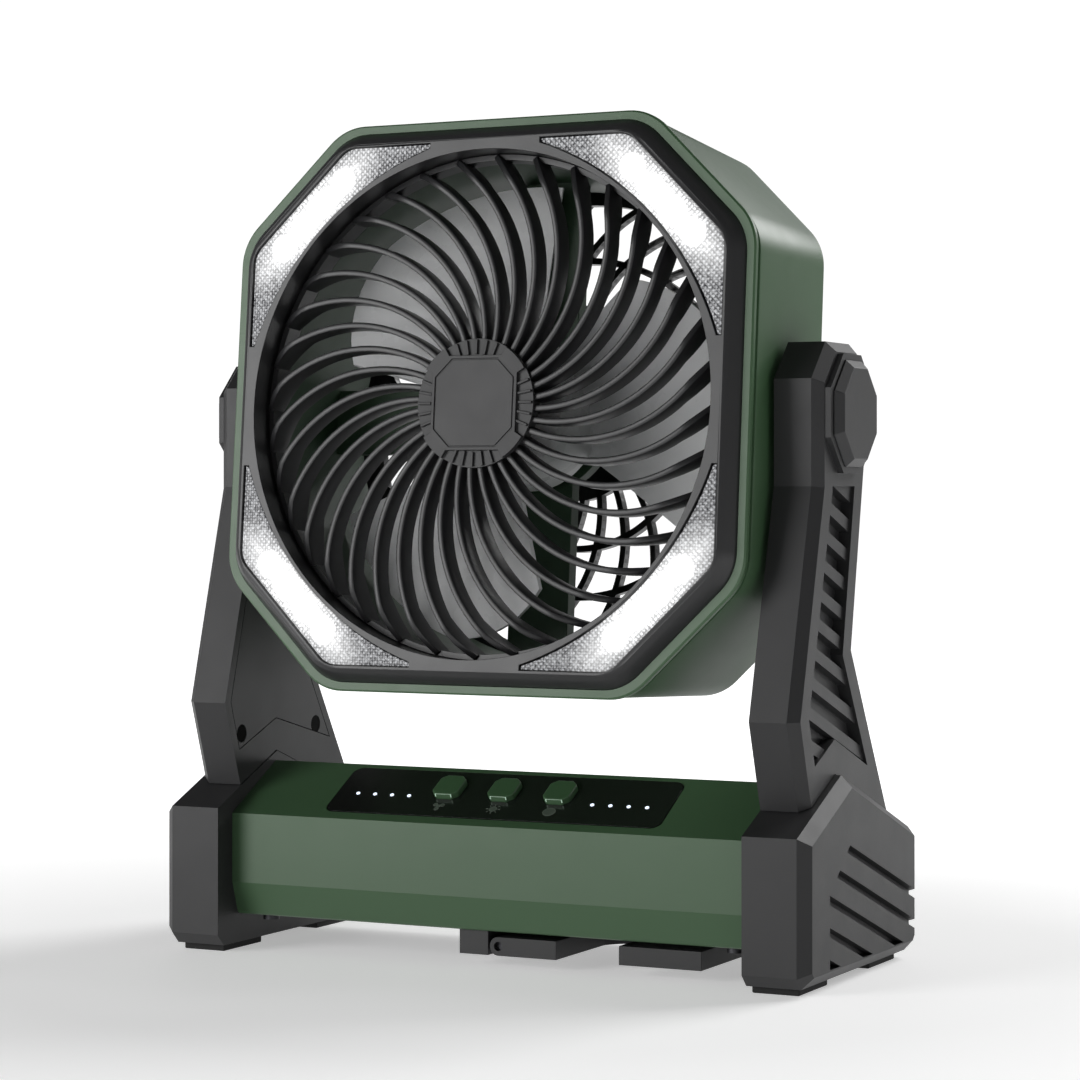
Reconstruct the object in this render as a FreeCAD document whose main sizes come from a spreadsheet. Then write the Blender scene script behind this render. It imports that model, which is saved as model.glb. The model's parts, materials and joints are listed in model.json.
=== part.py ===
import FreeCAD, Part
import math
import os
import Sketcher

# Portable camping fan: an octagonal fan head with corner lamps, tilting between two arms
# on a battery base. Millimetres. X to the viewer's right, Y away from the viewer, Z up.
# The origin is on the table, under the middle of the base.
# Head pieces are drawn in the head's own axes, with the origin on the tilt axis:
# x to the right, y up and z out of the grille. place_in_head tilts them into the stand.

V = FreeCAD.Vector
doc = FreeCAD.newDocument("camping_fan")

# Driving dimensions
SIZES = {
    # feet and end caps of the base
    "foot_thickness": 2.5,
    "foot_recess": 1.5,
    "foot_length": 26.0,
    "foot_width": 17.0,
    "foot_reach": 33.0,
    "cap_inner": 102.4,
    "cap_width": 23.6,
    "base_half_depth": 52.0,
    "cap_front_height": 52.7,
    "cap_ridge_height": 70.5,
    "cap_rear_height": 46.5,
    "cap_ridge_setback": 41.0,
    "cap_bevel": 4.0,
    "cap_wall": 4.0,
    "cap_cavity_height": 38.0,
    # long green battery housing between the caps
    "bar_half_depth": 42.4,
    "bar_front_height": 50.1,
    "bar_slope": 29.0,
    "bar_ridge_setback": 30.4,
    "bar_rear_height": 49.5,
    "bar_crease_height": 25.0,
    "bar_bottom": 12.9,
    "bar_toe": 4.0,
    "bar_round": 2.0,
    "bar_wall": 2.4,
    "floor_plate": 2.0,
    "floor_half_depth": 36.0,
    "floor_opening": 28.0,
    # arms
    "arm_thickness": 17.1,
    "arm_bevel": 3.5,
    "arm_head_half": 24.3,
    "arm_head_height": 24.6,
    "arm_head_corner": 13.0,
    "arm_shoulder_drop": 25.0,
    "arm_kink_reach": 46.6,
    "arm_kink_height": 90.3,
    "arm_foot_front": 36.3,
    "arm_foot_rear": 46.0,
    "arm_waist": 8.0,
    "arm_waist_height": 113.0,
    "arm_rear_shoulder": 1.5,
    "arm_rim": 3.5,
    "arm_ledge": 2.0,
    "arm_solid_foot": 0.27,
    "arm_cavity": 9.0,
    "cover_thickness": 2.3,
    "tenon_bottom": 46.0,
    "tenon_inset": 2.6,
    "tenon_front": 30.0,
    "tenon_rear": 30.0,
    "arm_screw_margin": 0.8,
    "arm_screw_rear": 17.5,
    "arm_screw_height": 78.5,
    "arm_screw_hole": 3.3,
    # slanted ribs of the arms and the caps
    "rib_slope": 19.0,
    "rib_pitch": 10.75,
    "rib_width": 4.2,
    "cap_slot": 3.0,
    "rib_depth": 3.4,
    "arm_window_sink": 1.2,
    "arm_window_margin": 11.0,
    "arm_window_top": 180.0,
    "cap_window_front": 31.8,
    "cap_window_low": 7.0,
    "cap_window_corner": 32.2,
    "cap_window_top": 49.7,
    "cap_window_notch": 9.2,
    # tilt joint
    "pivot_height": 193.9,
    "head_tilt": 5.0,
    "pin_radius": 7.0,
    "journal_clearance": 0.05,
    "pin_flange": 11.0,
    "pin_flange_thickness": 3.0,
    "boss_radius": 14.0,
    "boss_depth": 7.2,
    "arm_boss_radius": 16.0,
    "boss_octagon": 20.5,
    "boss_step": 2.2,
    "washer_thickness": 1.3,
    "hub_wall": 8.0,
    "pocket_radius": 13.0,
    "pivot_screw_head": 10.0,
    "cap_octagon": 18.3,
    "cap_octagon_thickness": 3.2,
    "cap_octagon_bevel": 2.7,
    # head shell
    "head_half": 101.5,
    "head_corner": 41.0,
    "head_round": 11.0,
    "rim_front": 42.0,
    "rim_thickness": 3.0,
    "rim_groove": 3.2,
    "groove_depth": 1.1,
    "shell_front_half": 100.8,
    "shell_rear": 30.0,
    "shell_rear_half": 98.0,
    "shell_rear_corner": 34.0,
    "shell_wall": 2.4,
    # bezel, lamps and grille
    "bezel_half": 98.2,
    "bezel_face_half": 94.0,
    "bezel_corner": 40.3,
    "bezel_face_corner": 36.3,
    "bezel_proud": 6.2,
    "bezel_skirt": 4.0,
    "pillar_reach": 24.0,
    "pillar_radius": 4.5,
    "pillar_back": 25.0,
    "pillar_web": 1.5,
    "opening_radius": 89.5,
    "throat_wall": 1.6,
    "throat_depth": 18.0,
    "lens_half": 92.3,
    "lens_corner": 37.0,
    "lens_tail": 21.9,
    "lens_tail_width": 1.3,
    "lens_inner_curve": 110.0,
    "lens_thickness": 2.6,
    "lens_sink": 0.8,
    "lens_gap": 0.3,
    "tray_depth": 10.2,
    "tray_thickness": 1.8,
    "board_thickness": 1.4,
    "lamp_board_middle": 97.6,
    "lamp_board_half_length": 19.5,
    "lamp_board_half_width": 4.5,
    "lamp_chamber_half": 28.0,
    "lamp_chamber_half_width": 4.9,
    "chip_spacing": 11.0,
    "chip_radius": 1.8,
    "chip_height": 1.0,
    "rib_count": 36,
    "rib_thickness": 2.2,
    "rib_front": 46.0,
    "rib_back": 38.0,
    "rib_knee": 81.0,
    "rib_root_angle": 5.2,
    "rib_tip_angle": 30.0,
    "rib_curve": 54.7,
    "grille_ring_wall": 1.9,
    "grille_ring_depth": 8.0,
    "hub_radius": 21.5,
    "hub_cap_radius": 22.7,
    "hub_cap_thickness": 2.4,
    "hub_panel_half": 15.5,
    "hub_recess_low": 16.6,
    "hub_recess_half": 10.3,
    "hub_recess_depth": 1.2,
    "hub_slat_width": 1.1,
    "hub_slat_step": 10.5,
    "hub_slat_height": 0.8,
    # duct, rotor and motor
    "duct_radius": 87.4,
    "duct_wall": 1.8,
    "blade_count": 3,
    "blade_radius": 84.5,
    "blade_middle": 12.0,
    "blade_rise": 26.0,
    "blade_thickness": 2.0,
    "blade_root_half": 15.0,
    "blade_tip_half": 68.0,
    "blade_phase": 5.0,
    "lead_start": 50.0,
    "lead_height": 42.0,
    "lead_x": 74.0,
    "lead_y": 32.0,
    "lead_round": 22.0,
    "lead_end": 6.0,
    "blade_root": 22.0,
    "rotor_hub_radius": 27.0,
    "rotor_hub_front": 33.0,
    "rotor_hub_back": 2.0,
    "rotor_hub_wall": 2.2,
    "rotor_hub_face": 3.0,
    "shaft_radius": 2.5,
    "nut_radius": 5.0,
    "nut_thickness": 2.8,
    "motor_radius": 20.0,
    "motor_front": 18.0,
    "motor_back": 8.0,
    "mount_thickness": 6.0,
    "mount_radius": 26.0,
    "motor_screw_circle": 13.0,
    "bearing_radius": 6.5,
    "bearing_width": 4.0,
    # rear guard
    "guard_depth": 11.0,
    "guard_front_half": 97.0,
    "guard_front_corner": 34.0,
    "guard_back_half": 92.0,
    "guard_back_corner": 32.0,
    "guard_wall": 2.4,
    "guard_opening": 84.0,
    "guard_hub": 27.0,
    "guard_rib_count": 24,
    "guard_strut_half": 12.0,
    "guard_rib_depth": 4.0,
    "guard_ring_one": 45.0,
    "guard_ring_two": 63.0,
    "vent_length": 17.0,
    "vent_bar": 3.0,
    "vent_height": 4.5,
    "vent_count": 5,
    # control panel and buttons
    "panel_half": 66.0,
    "panel_front": 4.4,
    "panel_length": 27.8,
    "panel_corner": 4.0,
    "panel_sink": 1.2,
    "panel_proud": 0.2,
    "button_pitch": 22.0,
    "button_half": 5.2,
    "button_half_length": 5.9,
    "button_corner": 2.2,
    "button_centre": 21.2,
    "button_proud": 2.1,
    "button_travel": 0.9,
    "button_flange": 0.9,
    "button_gap": 0.3,
    "switch_half": 3.0,
    "lamp_row": 15.9,
    "lamp_first": 36.4,
    "lamp_pitch": 7.0,
    "lamp_radius": 0.7,
    "switch_height": 2.6,
    "control_board_half": 65.0,
    "control_board_length": 22.0,
    "board_post": 62.5,
    "board_post_radius": 2.0,
    # battery and charge socket
    "cell_radius": 9.1,
    "cell_length": 64.8,
    "cell_pitch": 20.0,
    "holder_half_depth": 31.0,
    "holder_half": 70.0,
    "holder_height": 8.0,
    "holder_wall": 1.6,
    "socket_half": 4.6,
    "socket_half_height": 1.7,
    "socket_depth": 8.0,
    "socket_height": 34.0,
    # fold-out hanging hook
    "hook_low": 4.2,
    "hook_thickness": 6.6,
    "hook_inner_leg": 26.0,
    "hook_throat": 24.0,
    "hook_outer_leg": 31.0,
    "hook_half_length": 36.0,
    "hook_throat_end": 12.0,
    "hook_corner": 14.0,
    "hook_pin": 1.5,
    "hook_pin_setback": 3.3,
    "bracket_width": 12.0,
    "knuckle_length": 12.0,
    # shared fits and fasteners
    "seat_gap": 0.3,
    "screw_head": 3.0,
    "screw_head_height": 2.0,
    "screw_shank": 1.5,
}


class Size:
    """A number together with the sheet expression that gives it. A number worked out
    through so many steps that its expression would be too long is bound without one."""

    def __init__(self, value, text):
        self.value = float(value)
        self.text = text if text and "?" not in text and len(text) < 150 else "?"

    def __add__(self, other):
        other = as_size(other)
        return Size(self.value + other.value, "(%s + %s)" % (self.text, other.text))

    def __sub__(self, other):
        other = as_size(other)
        return Size(self.value - other.value, "(%s - %s)" % (self.text, other.text))

    def __mul__(self, other):
        other = as_size(other)
        return Size(self.value * other.value, "(%s * %s)" % (self.text, other.text))

    def __truediv__(self, other):
        other = as_size(other)
        return Size(self.value / other.value, "(%s / %s)" % (self.text, other.text))

    def __radd__(self, other):
        return as_size(other) + self

    def __rsub__(self, other):
        return as_size(other) - self

    def __rmul__(self, other):
        return as_size(other) * self

    def __rtruediv__(self, other):
        return as_size(other) / self

    def __neg__(self):
        return self * -1


def as_size(number):
    return number if isinstance(number, Size) else Size(number, "(%s)" % repr(number))


def sine(angle):
    angle = as_size(angle)
    return Size(math.sin(math.radians(angle.value)), "sin(%s)" % angle.text)


def cosine(angle):
    angle = as_size(angle)
    return Size(math.cos(math.radians(angle.value)), "cos(%s)" % angle.text)


def root(number):
    return Size(math.sqrt(number.value), "sqrt(%s)" % number.text)


class Dimensions:
    """The sheet's cells by name, so that size.head_half reads like the cell."""


sheet = doc.addObject("Spreadsheet::Sheet", "Sizes")
size = Dimensions()
for row, (name, number) in enumerate(SIZES.items(), start=1):
    sheet.set("A%d" % row, name)
    sheet.set("B%d" % row, str(number))
    sheet.setAlias("B%d" % row, name)
    setattr(size, name, Size(number, "Sizes." + name))
doc.recompute()

nodes = {}


# Helpers for sketches and features

def bind(thing, prop, number):
    number = as_size(number)
    if number.text != "?":
        thing.setExpression(prop, number.text)
    elif prop in ("Length", "Radius", "Size"):
        setattr(thing, prop, number.value)
    else:
        thing.setExpression(prop, repr(number.value))


def new_body(label):
    body = doc.addObject("PartDesign::Body", label)
    body.Label = label
    body.AllowCompound = True
    return body


def origin_feature(body, role):
    return [part for part in body.Origin.OriginFeatures if part.Role == role][0]


def sketch_on(body, plane, lift=0):
    """An empty sketch on an origin plane, moved along its normal by lift.
    XY_Plane faces +Z, XZ_Plane faces -Y and YZ_Plane faces +X."""
    sketch = body.newObject("Sketcher::SketchObject", body.Label + "_sketch")
    sketch.AttachmentSupport = [(origin_feature(body, plane), "")]
    sketch.MapMode = "FlatFace"
    bind(sketch, "AttachmentOffset.Base.z", lift)
    return sketch


def arc_between(start, end, radius):
    """A minor arc: radius above 0 turns left on the way from start to end."""
    chord = end - start
    half = chord.Length / 2
    left = V(-chord.y, chord.x, 0).normalize()
    offset = math.sqrt(max(radius * radius - half * half, 0.0))
    centre = start + chord * 0.5 + left * (offset if radius > 0 else -offset)
    first, last = (start, end) if radius > 0 else (end, start)
    angles = [math.atan2(p.y - centre.y, p.x - centre.x) for p in (first, last)]
    circle = Part.Circle(centre, V(0, 0, 1), abs(radius))
    return Part.ArcOfCircle(circle, angles[0], angles[1])


def outline(sketch, corners):
    """A closed loop of corners (x, y), each bound to the sheet. A corner with a third
    value starts an arc of that signed radius to the next corner."""
    corners = [tuple(as_size(number) for number in corner) for corner in corners]
    first = sketch.GeometryCount
    edges, starts, ends = [], [], []
    for here, there in zip(corners, corners[1:] + corners[:1]):
        start = V(here[0].value, here[1].value, 0)
        end = V(there[0].value, there[1].value, 0)
        turned = len(here) > 2 and here[2].value < 0
        edges.append(arc_between(start, end, here[2].value) if len(here) > 2
                     else Part.LineSegment(start, end))
        starts.append(2 if turned else 1)
        ends.append(1 if turned else 2)
    sketch.addGeometry(edges, False)
    for index in range(len(corners)):
        after = (index + 1) % len(corners)
        sketch.addConstraint(Sketcher.Constraint(
            "Coincident", first + index, ends[index], first + after, starts[after]))
    for index, corner in enumerate(corners):
        hold_point(sketch, first + index, starts[index], corner[0], corner[1])
        if len(corner) > 2:
            radius = corner[2] if corner[2].value > 0 else -corner[2]
            measure(sketch, ("Radius", first + index), radius)


def measure(sketch, what, number):
    number = as_size(number)
    place = sketch.addConstraint(Sketcher.Constraint(*what, number.value))
    if number.text != "?" and "Sizes" in number.text:
        sketch.setExpression("Constraints[%d]" % place, number.text)


def hold_point(sketch, edge, end, x, y):
    measure(sketch, ("DistanceX", -1, 1, edge, end), x)
    measure(sketch, ("DistanceY", -1, 1, edge, end), y)


def circles(sketch, places):
    """Circles (x, y, radius) in one sketch."""
    for x, y, radius in places:
        x, y, radius = as_size(x), as_size(y), as_size(radius)
        round_edge = Part.Circle(V(x.value, y.value, 0), V(0, 0, 1), radius.value)
        edge = sketch.addGeometry(round_edge, False)
        hold_point(sketch, edge, 3, x, y)
        measure(sketch, ("Radius", edge), radius)


def box_corners(left, low, right, high):
    return [(left, low), (right, low), (right, high), (left, high)]


def octagon(half, corner, tall=None):
    """Corners of a square-cut octagon: half its width, the leg of each cut corner."""
    tall = half if tall is None else tall
    flat, rise = half - corner, tall - corner
    return [(flat, -tall), (half, -rise), (half, rise), (flat, tall),
            (-flat, tall), (-half, rise), (-half, -rise), (-flat, -tall)]


def rounded(corners, radius, turn=45):
    """The same loop with each corner rounded, where every corner turns by one angle."""
    corners = [(as_size(x), as_size(y)) for x, y in corners]
    reach = radius * sine(turn / 2) / cosine(turn / 2)
    soft = []
    for index, (x, y) in enumerate(corners):
        for other, is_start in ((corners[index - 1], True),
                                (corners[(index + 1) % len(corners)], False)):
            across, along = other[0] - x, other[1] - y
            length = root(across * across + along * along)
            point = (x + across * reach / length, y + along * reach / length)
            soft.append(point + (radius,) if is_start else point)
    return soft


def inset(corners, distance):
    """The loop, which runs anticlockwise, moved inwards by distance on every side."""
    corners = [(as_size(x), as_size(y)) for x, y in corners]
    normals = []
    for here, there in zip(corners, corners[1:] + corners[:1]):
        across, along = there[0] - here[0], there[1] - here[1]
        length = root(across * across + along * along)
        normals.append((-along / length, across / length))
    moved = []
    for index, (x, y) in enumerate(corners):
        before, after = normals[index - 1], normals[index]
        share = distance / (1 + before[0] * after[0] + before[1] * after[1])
        moved.append((x + (before[0] + after[0]) * share, y + (before[1] + after[1]) * share))
    return moved


def pad(body, sketch, length, back=False):
    feature = body.newObject("PartDesign::Pad", "Pad")
    feature.Profile = sketch
    bind(feature, "Length", length)
    feature.Reversed = back
    feature.Refine = False
    doc.recompute()
    return feature


def pocket(body, sketch, depth, back=False):
    """Cuts along the sketch's normal backwards, or forwards with back=True."""
    before = body.Shape.Volume
    feature = body.newObject("PartDesign::Pocket", "Pocket")
    feature.Profile = sketch
    bind(feature, "Length", depth)
    feature.Reversed = back
    feature.Refine = False
    doc.recompute()
    if body.Shape.Volume > before - 1e-3:
        raise ValueError("a pocket cut nothing in " + body.Label)
    return feature


def spin(body, sketch, axis="V_Axis", cut=False):
    kind = "PartDesign::Groove" if cut else "PartDesign::Revolution"
    before = body.Shape.Volume if cut else 0
    feature = body.newObject(kind, "Spin")
    feature.Profile = sketch
    feature.ReferenceAxis = (sketch, [axis])
    feature.Angle = 360
    feature.Refine = False
    doc.recompute()
    if cut and body.Shape.Volume > before - 1e-3:
        raise ValueError("a groove cut nothing in " + body.Label)
    return feature


def loft(body, sketches, cut=False):
    kind = "PartDesign::SubtractiveLoft" if cut else "PartDesign::AdditiveLoft"
    feature = body.newObject(kind, "Loft")
    feature.Profile = sketches[0]
    feature.Sections = sketches[1:]
    feature.Ruled = len(sketches) == 2
    feature.Refine = False
    doc.recompute()
    return feature


def around(body, features, count, axis="Z_Axis"):
    feature = body.newObject("PartDesign::PolarPattern", "Around")
    feature.Originals = features
    feature.Axis = (origin_feature(body, axis), [""])
    feature.Angle = 360
    bind(feature, "Occurrences", count)
    feature.Refine = False
    body.Tip = feature
    doc.recompute()
    return feature


def dress(body, kind, amount, wanted):
    """Chamfers or fillets the edges that wanted() accepts."""
    base = body.Tip
    names = ["Edge%d" % (index + 1) for index, edge in enumerate(base.Shape.Edges) if wanted(edge)]
    if not names:
        raise ValueError("no edge to dress on " + body.Label)
    feature = body.newObject("PartDesign::" + kind, kind)
    feature.Base = (base, names)
    bind(feature, "Radius" if kind == "Fillet" else "Size", amount)
    doc.recompute()
    return feature


def at(value, target):
    return abs(value - as_size(target).value) < 1e-4


def place(thing, x=0, y=0, z=0, axis=(1, 0, 0), angle=0):
    """Puts a finished piece in the stand's axes: turned about axis, then moved."""
    thing.Placement = FreeCAD.Placement(V(0, 0, 0), FreeCAD.Rotation(V(*axis), 45))
    bind(thing, "Placement.Rotation.Angle", angle)
    bind(thing, "Placement.Base.x", x)
    bind(thing, "Placement.Base.y", y)
    bind(thing, "Placement.Base.z", z)


def place_in_head(thing):
    place(thing, z=size.pivot_height, angle=90 - size.head_tilt)


def keep(thing, label=None):
    """Names a finished piece as a node."""
    thing.Label = label or thing.Label
    nodes[thing.Label] = thing
    return thing


def mirror(thing, label):
    """The same piece on the other side of X = 0."""
    copy = doc.addObject("Part::Mirroring", label)
    copy.Source = thing
    copy.Normal = V(1, 0, 0)
    copy.Base = V(0, 0, 0)
    return keep(copy, label)


def moved(corners, across, along):
    return [(x + across, y + along) + tuple(rest) for x, y, *rest in corners]


def turned(corners, angle):
    """The loop turned about the origin."""
    return [(x * cosine(angle) - y * sine(angle), x * sine(angle) + y * cosine(angle))
            for x, y in corners]


def sloped_sketch(body, lift=0):
    """A sketch on the bar's front slope: x along the bar, y up the slope, z out of it."""
    sketch = sketch_on(body, "XY_Plane")
    sketch.AttachmentOffset = FreeCAD.Placement(V(0, 0, 0), FreeCAD.Rotation(V(1, 0, 0), 45))
    bind(sketch, "AttachmentOffset.Rotation.Angle", size.bar_slope)
    bind(sketch, "AttachmentOffset.Base.y", -size.bar_half_depth - lift * sine(size.bar_slope))
    bind(sketch, "AttachmentOffset.Base.z", size.bar_front_height + lift * cosine(size.bar_slope))
    return sketch


def turned_sketch(body, lift, angle):
    """A sketch across the head's z axis, turned about it."""
    sketch = sketch_on(body, "XY_Plane", lift)
    sketch.AttachmentOffset = FreeCAD.Placement(V(0, 0, 0), FreeCAD.Rotation(V(0, 0, 1), angle))
    bind(sketch, "AttachmentOffset.Base.z", lift)
    return sketch


def cut_from(blank, tool, label):
    result = doc.addObject("Part::Cut", label)
    result.Base = blank
    result.Tool = tool
    doc.recompute()
    return keep(result, label)


def overlap(first, second, label):
    result = doc.addObject("Part::Common", label)
    result.Base = first
    result.Tool = second
    doc.recompute()
    return result


# Positions that follow from the sizes
hole = size.screw_shank + size.journal_clearance
cap_outer = size.cap_inner + size.cap_width
cap_ridge = size.cap_ridge_setback - size.base_half_depth
arm_inner = size.cap_inner + size.seat_gap
arm_outer = arm_inner + size.arm_thickness
arm_middle = arm_inner + size.arm_thickness / 2
bezel_face = size.rim_front + size.bezel_proud
rear_reach = (bezel_face * cosine(size.head_tilt)
              + size.bezel_face_half * sine(size.head_tilt))
ledge_top = size.bar_bottom + size.floor_plate + size.bar_wall
floor_half = size.cap_inner - 6.4
floor_screw_x = floor_half - 4
floor_screw_y = size.floor_half_depth - 4
cap_screw_y = as_size(25)
cap_screw_z = (size.cap_cavity_height + size.tenon_bottom) / 2
arm_fix_front = -size.tenon_front / 2
arm_fix_rear = size.tenon_rear / 2
front_roof = (size.cap_ridge_height - size.cap_front_height) / size.cap_ridge_setback
rear_roof = (size.cap_ridge_height - size.cap_rear_height) / (rear_reach - cap_ridge)


# Base housing
def bar_loop(bottom):
    front, toe = size.bar_half_depth, size.bar_half_depth - size.bar_toe
    rise = size.bar_ridge_setback * sine(size.bar_slope) / cosine(size.bar_slope)
    return [(-toe, bottom), (toe, bottom), (front, size.bar_crease_height),
            (front, size.bar_rear_height), (size.bar_ridge_setback - front,
                                            size.bar_front_height + rise),
            (-front, size.bar_front_height), (-front, size.bar_crease_height)]


panel_low = size.panel_front
panel_high = size.panel_front + size.panel_length
switch_top = (size.panel_sink + size.seat_gap + size.button_flange
              + size.button_travel + size.seat_gap)
board_top = switch_top + size.switch_height
board_low_y = size.panel_front + 1.6
board_high_y = board_low_y + size.control_board_length
shelf_top = size.socket_height - size.socket_half_height - size.board_thickness

base_shell = new_body("base_shell")
sketch = sketch_on(base_shell, "YZ_Plane", -size.cap_inner)
outline(sketch, bar_loop(size.bar_bottom))
pad(base_shell, sketch, size.cap_inner * 2)
dress(base_shell, "Fillet", size.bar_round, lambda edge: all(
    at(v.Z, size.bar_bottom) for v in edge.Vertexes) and edge.Length > 2 * size.cap_inner.value - 1)
sketch = sketch_on(base_shell, "YZ_Plane", -size.cap_inner + size.bar_wall)
outline(sketch, inset(bar_loop(size.bar_bottom + size.floor_plate), size.bar_wall))
pocket(base_shell, sketch, (size.cap_inner - size.bar_wall) * 2, back=True)
sketch = sketch_on(base_shell, "XY_Plane", size.bar_bottom)
outline(sketch, box_corners(-floor_half, -size.floor_half_depth, floor_half, size.floor_half_depth))
pocket(base_shell, sketch, size.floor_plate, back=True)
sketch = sketch_on(base_shell, "XY_Plane", size.bar_bottom)
outline(sketch, box_corners(8 - floor_half, -size.floor_opening, floor_half - 8, size.floor_opening))
pocket(base_shell, sketch, size.floor_plate + size.bar_wall + 1, back=True)
sketch = sketch_on(base_shell, "XY_Plane", size.bar_bottom + size.floor_plate)
circles(sketch, [(x, y, hole) for x in (-floor_screw_x, floor_screw_x)
                 for y in (-floor_screw_y, floor_screw_y)])
pocket(base_shell, sketch, size.bar_wall + 1, back=True)
sketch = sloped_sketch(base_shell)
outline(sketch, rounded(box_corners(
    -size.panel_half - size.seat_gap, panel_low - size.seat_gap,
    size.panel_half + size.seat_gap, panel_high + size.seat_gap), size.panel_corner, 90))
pocket(base_shell, sketch, size.panel_sink)
sketch = sloped_sketch(base_shell)
outline(sketch, box_corners(3 - size.board_post, panel_low + 3, size.board_post - 3, panel_high - 0.8))
pocket(base_shell, sketch, size.bar_wall + 1)
sketch = sloped_sketch(base_shell, -board_top)
circles(sketch, [(x, y, size.board_post_radius) for x in (-size.board_post, size.board_post)
                 for y in (board_low_y + 3, board_high_y - 3)])
pad(base_shell, sketch, board_top - size.bar_wall + 0.6)
sketch = sketch_on(base_shell, "XZ_Plane", -size.bar_half_depth)
outline(sketch, box_corners(
    -size.socket_half - size.seat_gap, size.socket_height - size.socket_half_height - size.seat_gap,
    size.socket_half + size.seat_gap, size.socket_height + size.socket_half_height + size.seat_gap))
pocket(base_shell, sketch, size.bar_wall + 1, back=True)
sketch = sketch_on(base_shell, "XZ_Plane", size.bar_wall - size.bar_half_depth - 0.6)
outline(sketch, box_corners(-10, shelf_top - 2, 10, shelf_top))
pad(base_shell, sketch, size.socket_depth + 1)
sketch = sketch_on(base_shell, "YZ_Plane", -size.cap_inner)
circles(sketch, [(-cap_screw_y, cap_screw_z, hole), (cap_screw_y, cap_screw_z, hole)])
pocket(base_shell, sketch, size.cap_inner * 2, back=True)
keep(base_shell)

base_floor = new_body("base_floor")
sketch = sketch_on(base_floor, "XY_Plane", size.bar_bottom)
fit = size.seat_gap
outline(sketch, box_corners(fit - floor_half, fit - size.floor_half_depth,
                            floor_half - fit, size.floor_half_depth - fit))
pad(base_floor, sketch, size.floor_plate)
bracket_screw_x = -size.bracket_width / 2
bracket_screw_y = size.hook_half_length - 12
sketch = sketch_on(base_floor, "XY_Plane", size.bar_bottom)
circles(sketch, [(x, y, hole) for x in (-floor_screw_x, floor_screw_x)
                 for y in (-floor_screw_y, floor_screw_y)]
        + [(bracket_screw_x, -bracket_screw_y, hole), (bracket_screw_x, bracket_screw_y, hole)])
pocket(base_floor, sketch, size.floor_plate, back=True)
keep(base_floor)


def screws(label, plane, places, seat, shank, flip=False, head=None):
    """Screws with their heads on the plane at seat, each head standing off towards
    the plane's back, or towards its front with flip."""
    body = new_body(label)
    tall = size.screw_head_height
    sketch = sketch_on(body, plane, seat if flip else seat - tall)
    circles(sketch, [(x, y, head or size.screw_head) for x, y in places])
    pad(body, sketch, tall)
    sketch = sketch_on(body, plane, seat)
    circles(sketch, [(x, y, size.screw_shank) for x, y in places])
    pad(body, sketch, shank, back=flip)
    return keep(body)


screws("floor_screws", "XY_Plane", [(x, y) for x in (-floor_screw_x, floor_screw_x)
                                    for y in (-floor_screw_y, floor_screw_y)],
       size.bar_bottom, size.floor_plate + size.bar_wall)
screws("cap_screws_right", "YZ_Plane", [(-cap_screw_y, cap_screw_z), (cap_screw_y, cap_screw_z)],
       size.cap_inner - size.bar_wall, size.bar_wall + 9)
mirror(nodes["cap_screws_right"], "cap_screws_left")

# Batteries and charge socket
battery_holder = new_body("battery_holder")
sketch = sketch_on(battery_holder, "XY_Plane", ledge_top)
outline(sketch, box_corners(-size.holder_half, -size.holder_half_depth,
                            size.holder_half, size.holder_half_depth))
pad(battery_holder, sketch, size.holder_height)
sketch = sketch_on(battery_holder, "XY_Plane", ledge_top + size.holder_wall)
outline(sketch, inset(box_corners(-size.holder_half, -size.holder_half_depth,
                                  size.holder_half, size.holder_half_depth), size.holder_wall))
pocket(battery_holder, sketch, size.holder_height, back=True)
keep(battery_holder)

battery_cells = new_body("battery_cells")
for start in (size.holder_wall - size.holder_half + 0.6,
              size.holder_half - size.holder_wall - 0.6 - size.cell_length):
    sketch = sketch_on(battery_cells, "YZ_Plane", start)
    circles(sketch, [(size.cell_pitch * step, ledge_top + size.holder_wall + size.cell_radius,
                      size.cell_radius) for step in (-1, 0, 1)])
    pad(battery_cells, sketch, size.cell_length)
keep(battery_cells)

charge_port = new_body("charge_port")
sketch = sketch_on(charge_port, "XZ_Plane", 0.4 - size.bar_half_depth)
outline(sketch, box_corners(-size.socket_half, size.socket_height - size.socket_half_height,
                            size.socket_half, size.socket_height + size.socket_half_height))
pad(charge_port, sketch, size.socket_depth)
sketch = sketch_on(charge_port, "XZ_Plane", 0.4 - size.bar_half_depth)
outline(sketch, inset(box_corners(
    -size.socket_half, size.socket_height - size.socket_half_height,
    size.socket_half, size.socket_height + size.socket_half_height), 0.5))
pocket(charge_port, sketch, size.socket_depth - 1, back=True)
sketch = sketch_on(charge_port, "XZ_Plane", size.bar_wall + 0.3 - size.bar_half_depth)
outline(sketch, box_corners(-9, shelf_top, 9, shelf_top + size.board_thickness))
pad(charge_port, sketch, size.socket_depth)
keep(charge_port)


# End caps of the base
def cap_loop():
    low, bevel = size.foot_thickness, size.cap_bevel
    front, rear = size.base_half_depth, rear_reach
    return [(bevel - front, low), (rear - bevel, low), (rear, low + bevel),
            (rear, size.cap_rear_height), (cap_ridge, size.cap_ridge_height),
            (-front, size.cap_front_height), (-front, low + bevel)]


foot_middle = size.cap_inner + size.foot_width / 2 + 1.2
tenon_left = arm_inner + size.tenon_inset
tenon_right = arm_outer - size.tenon_inset

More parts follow.
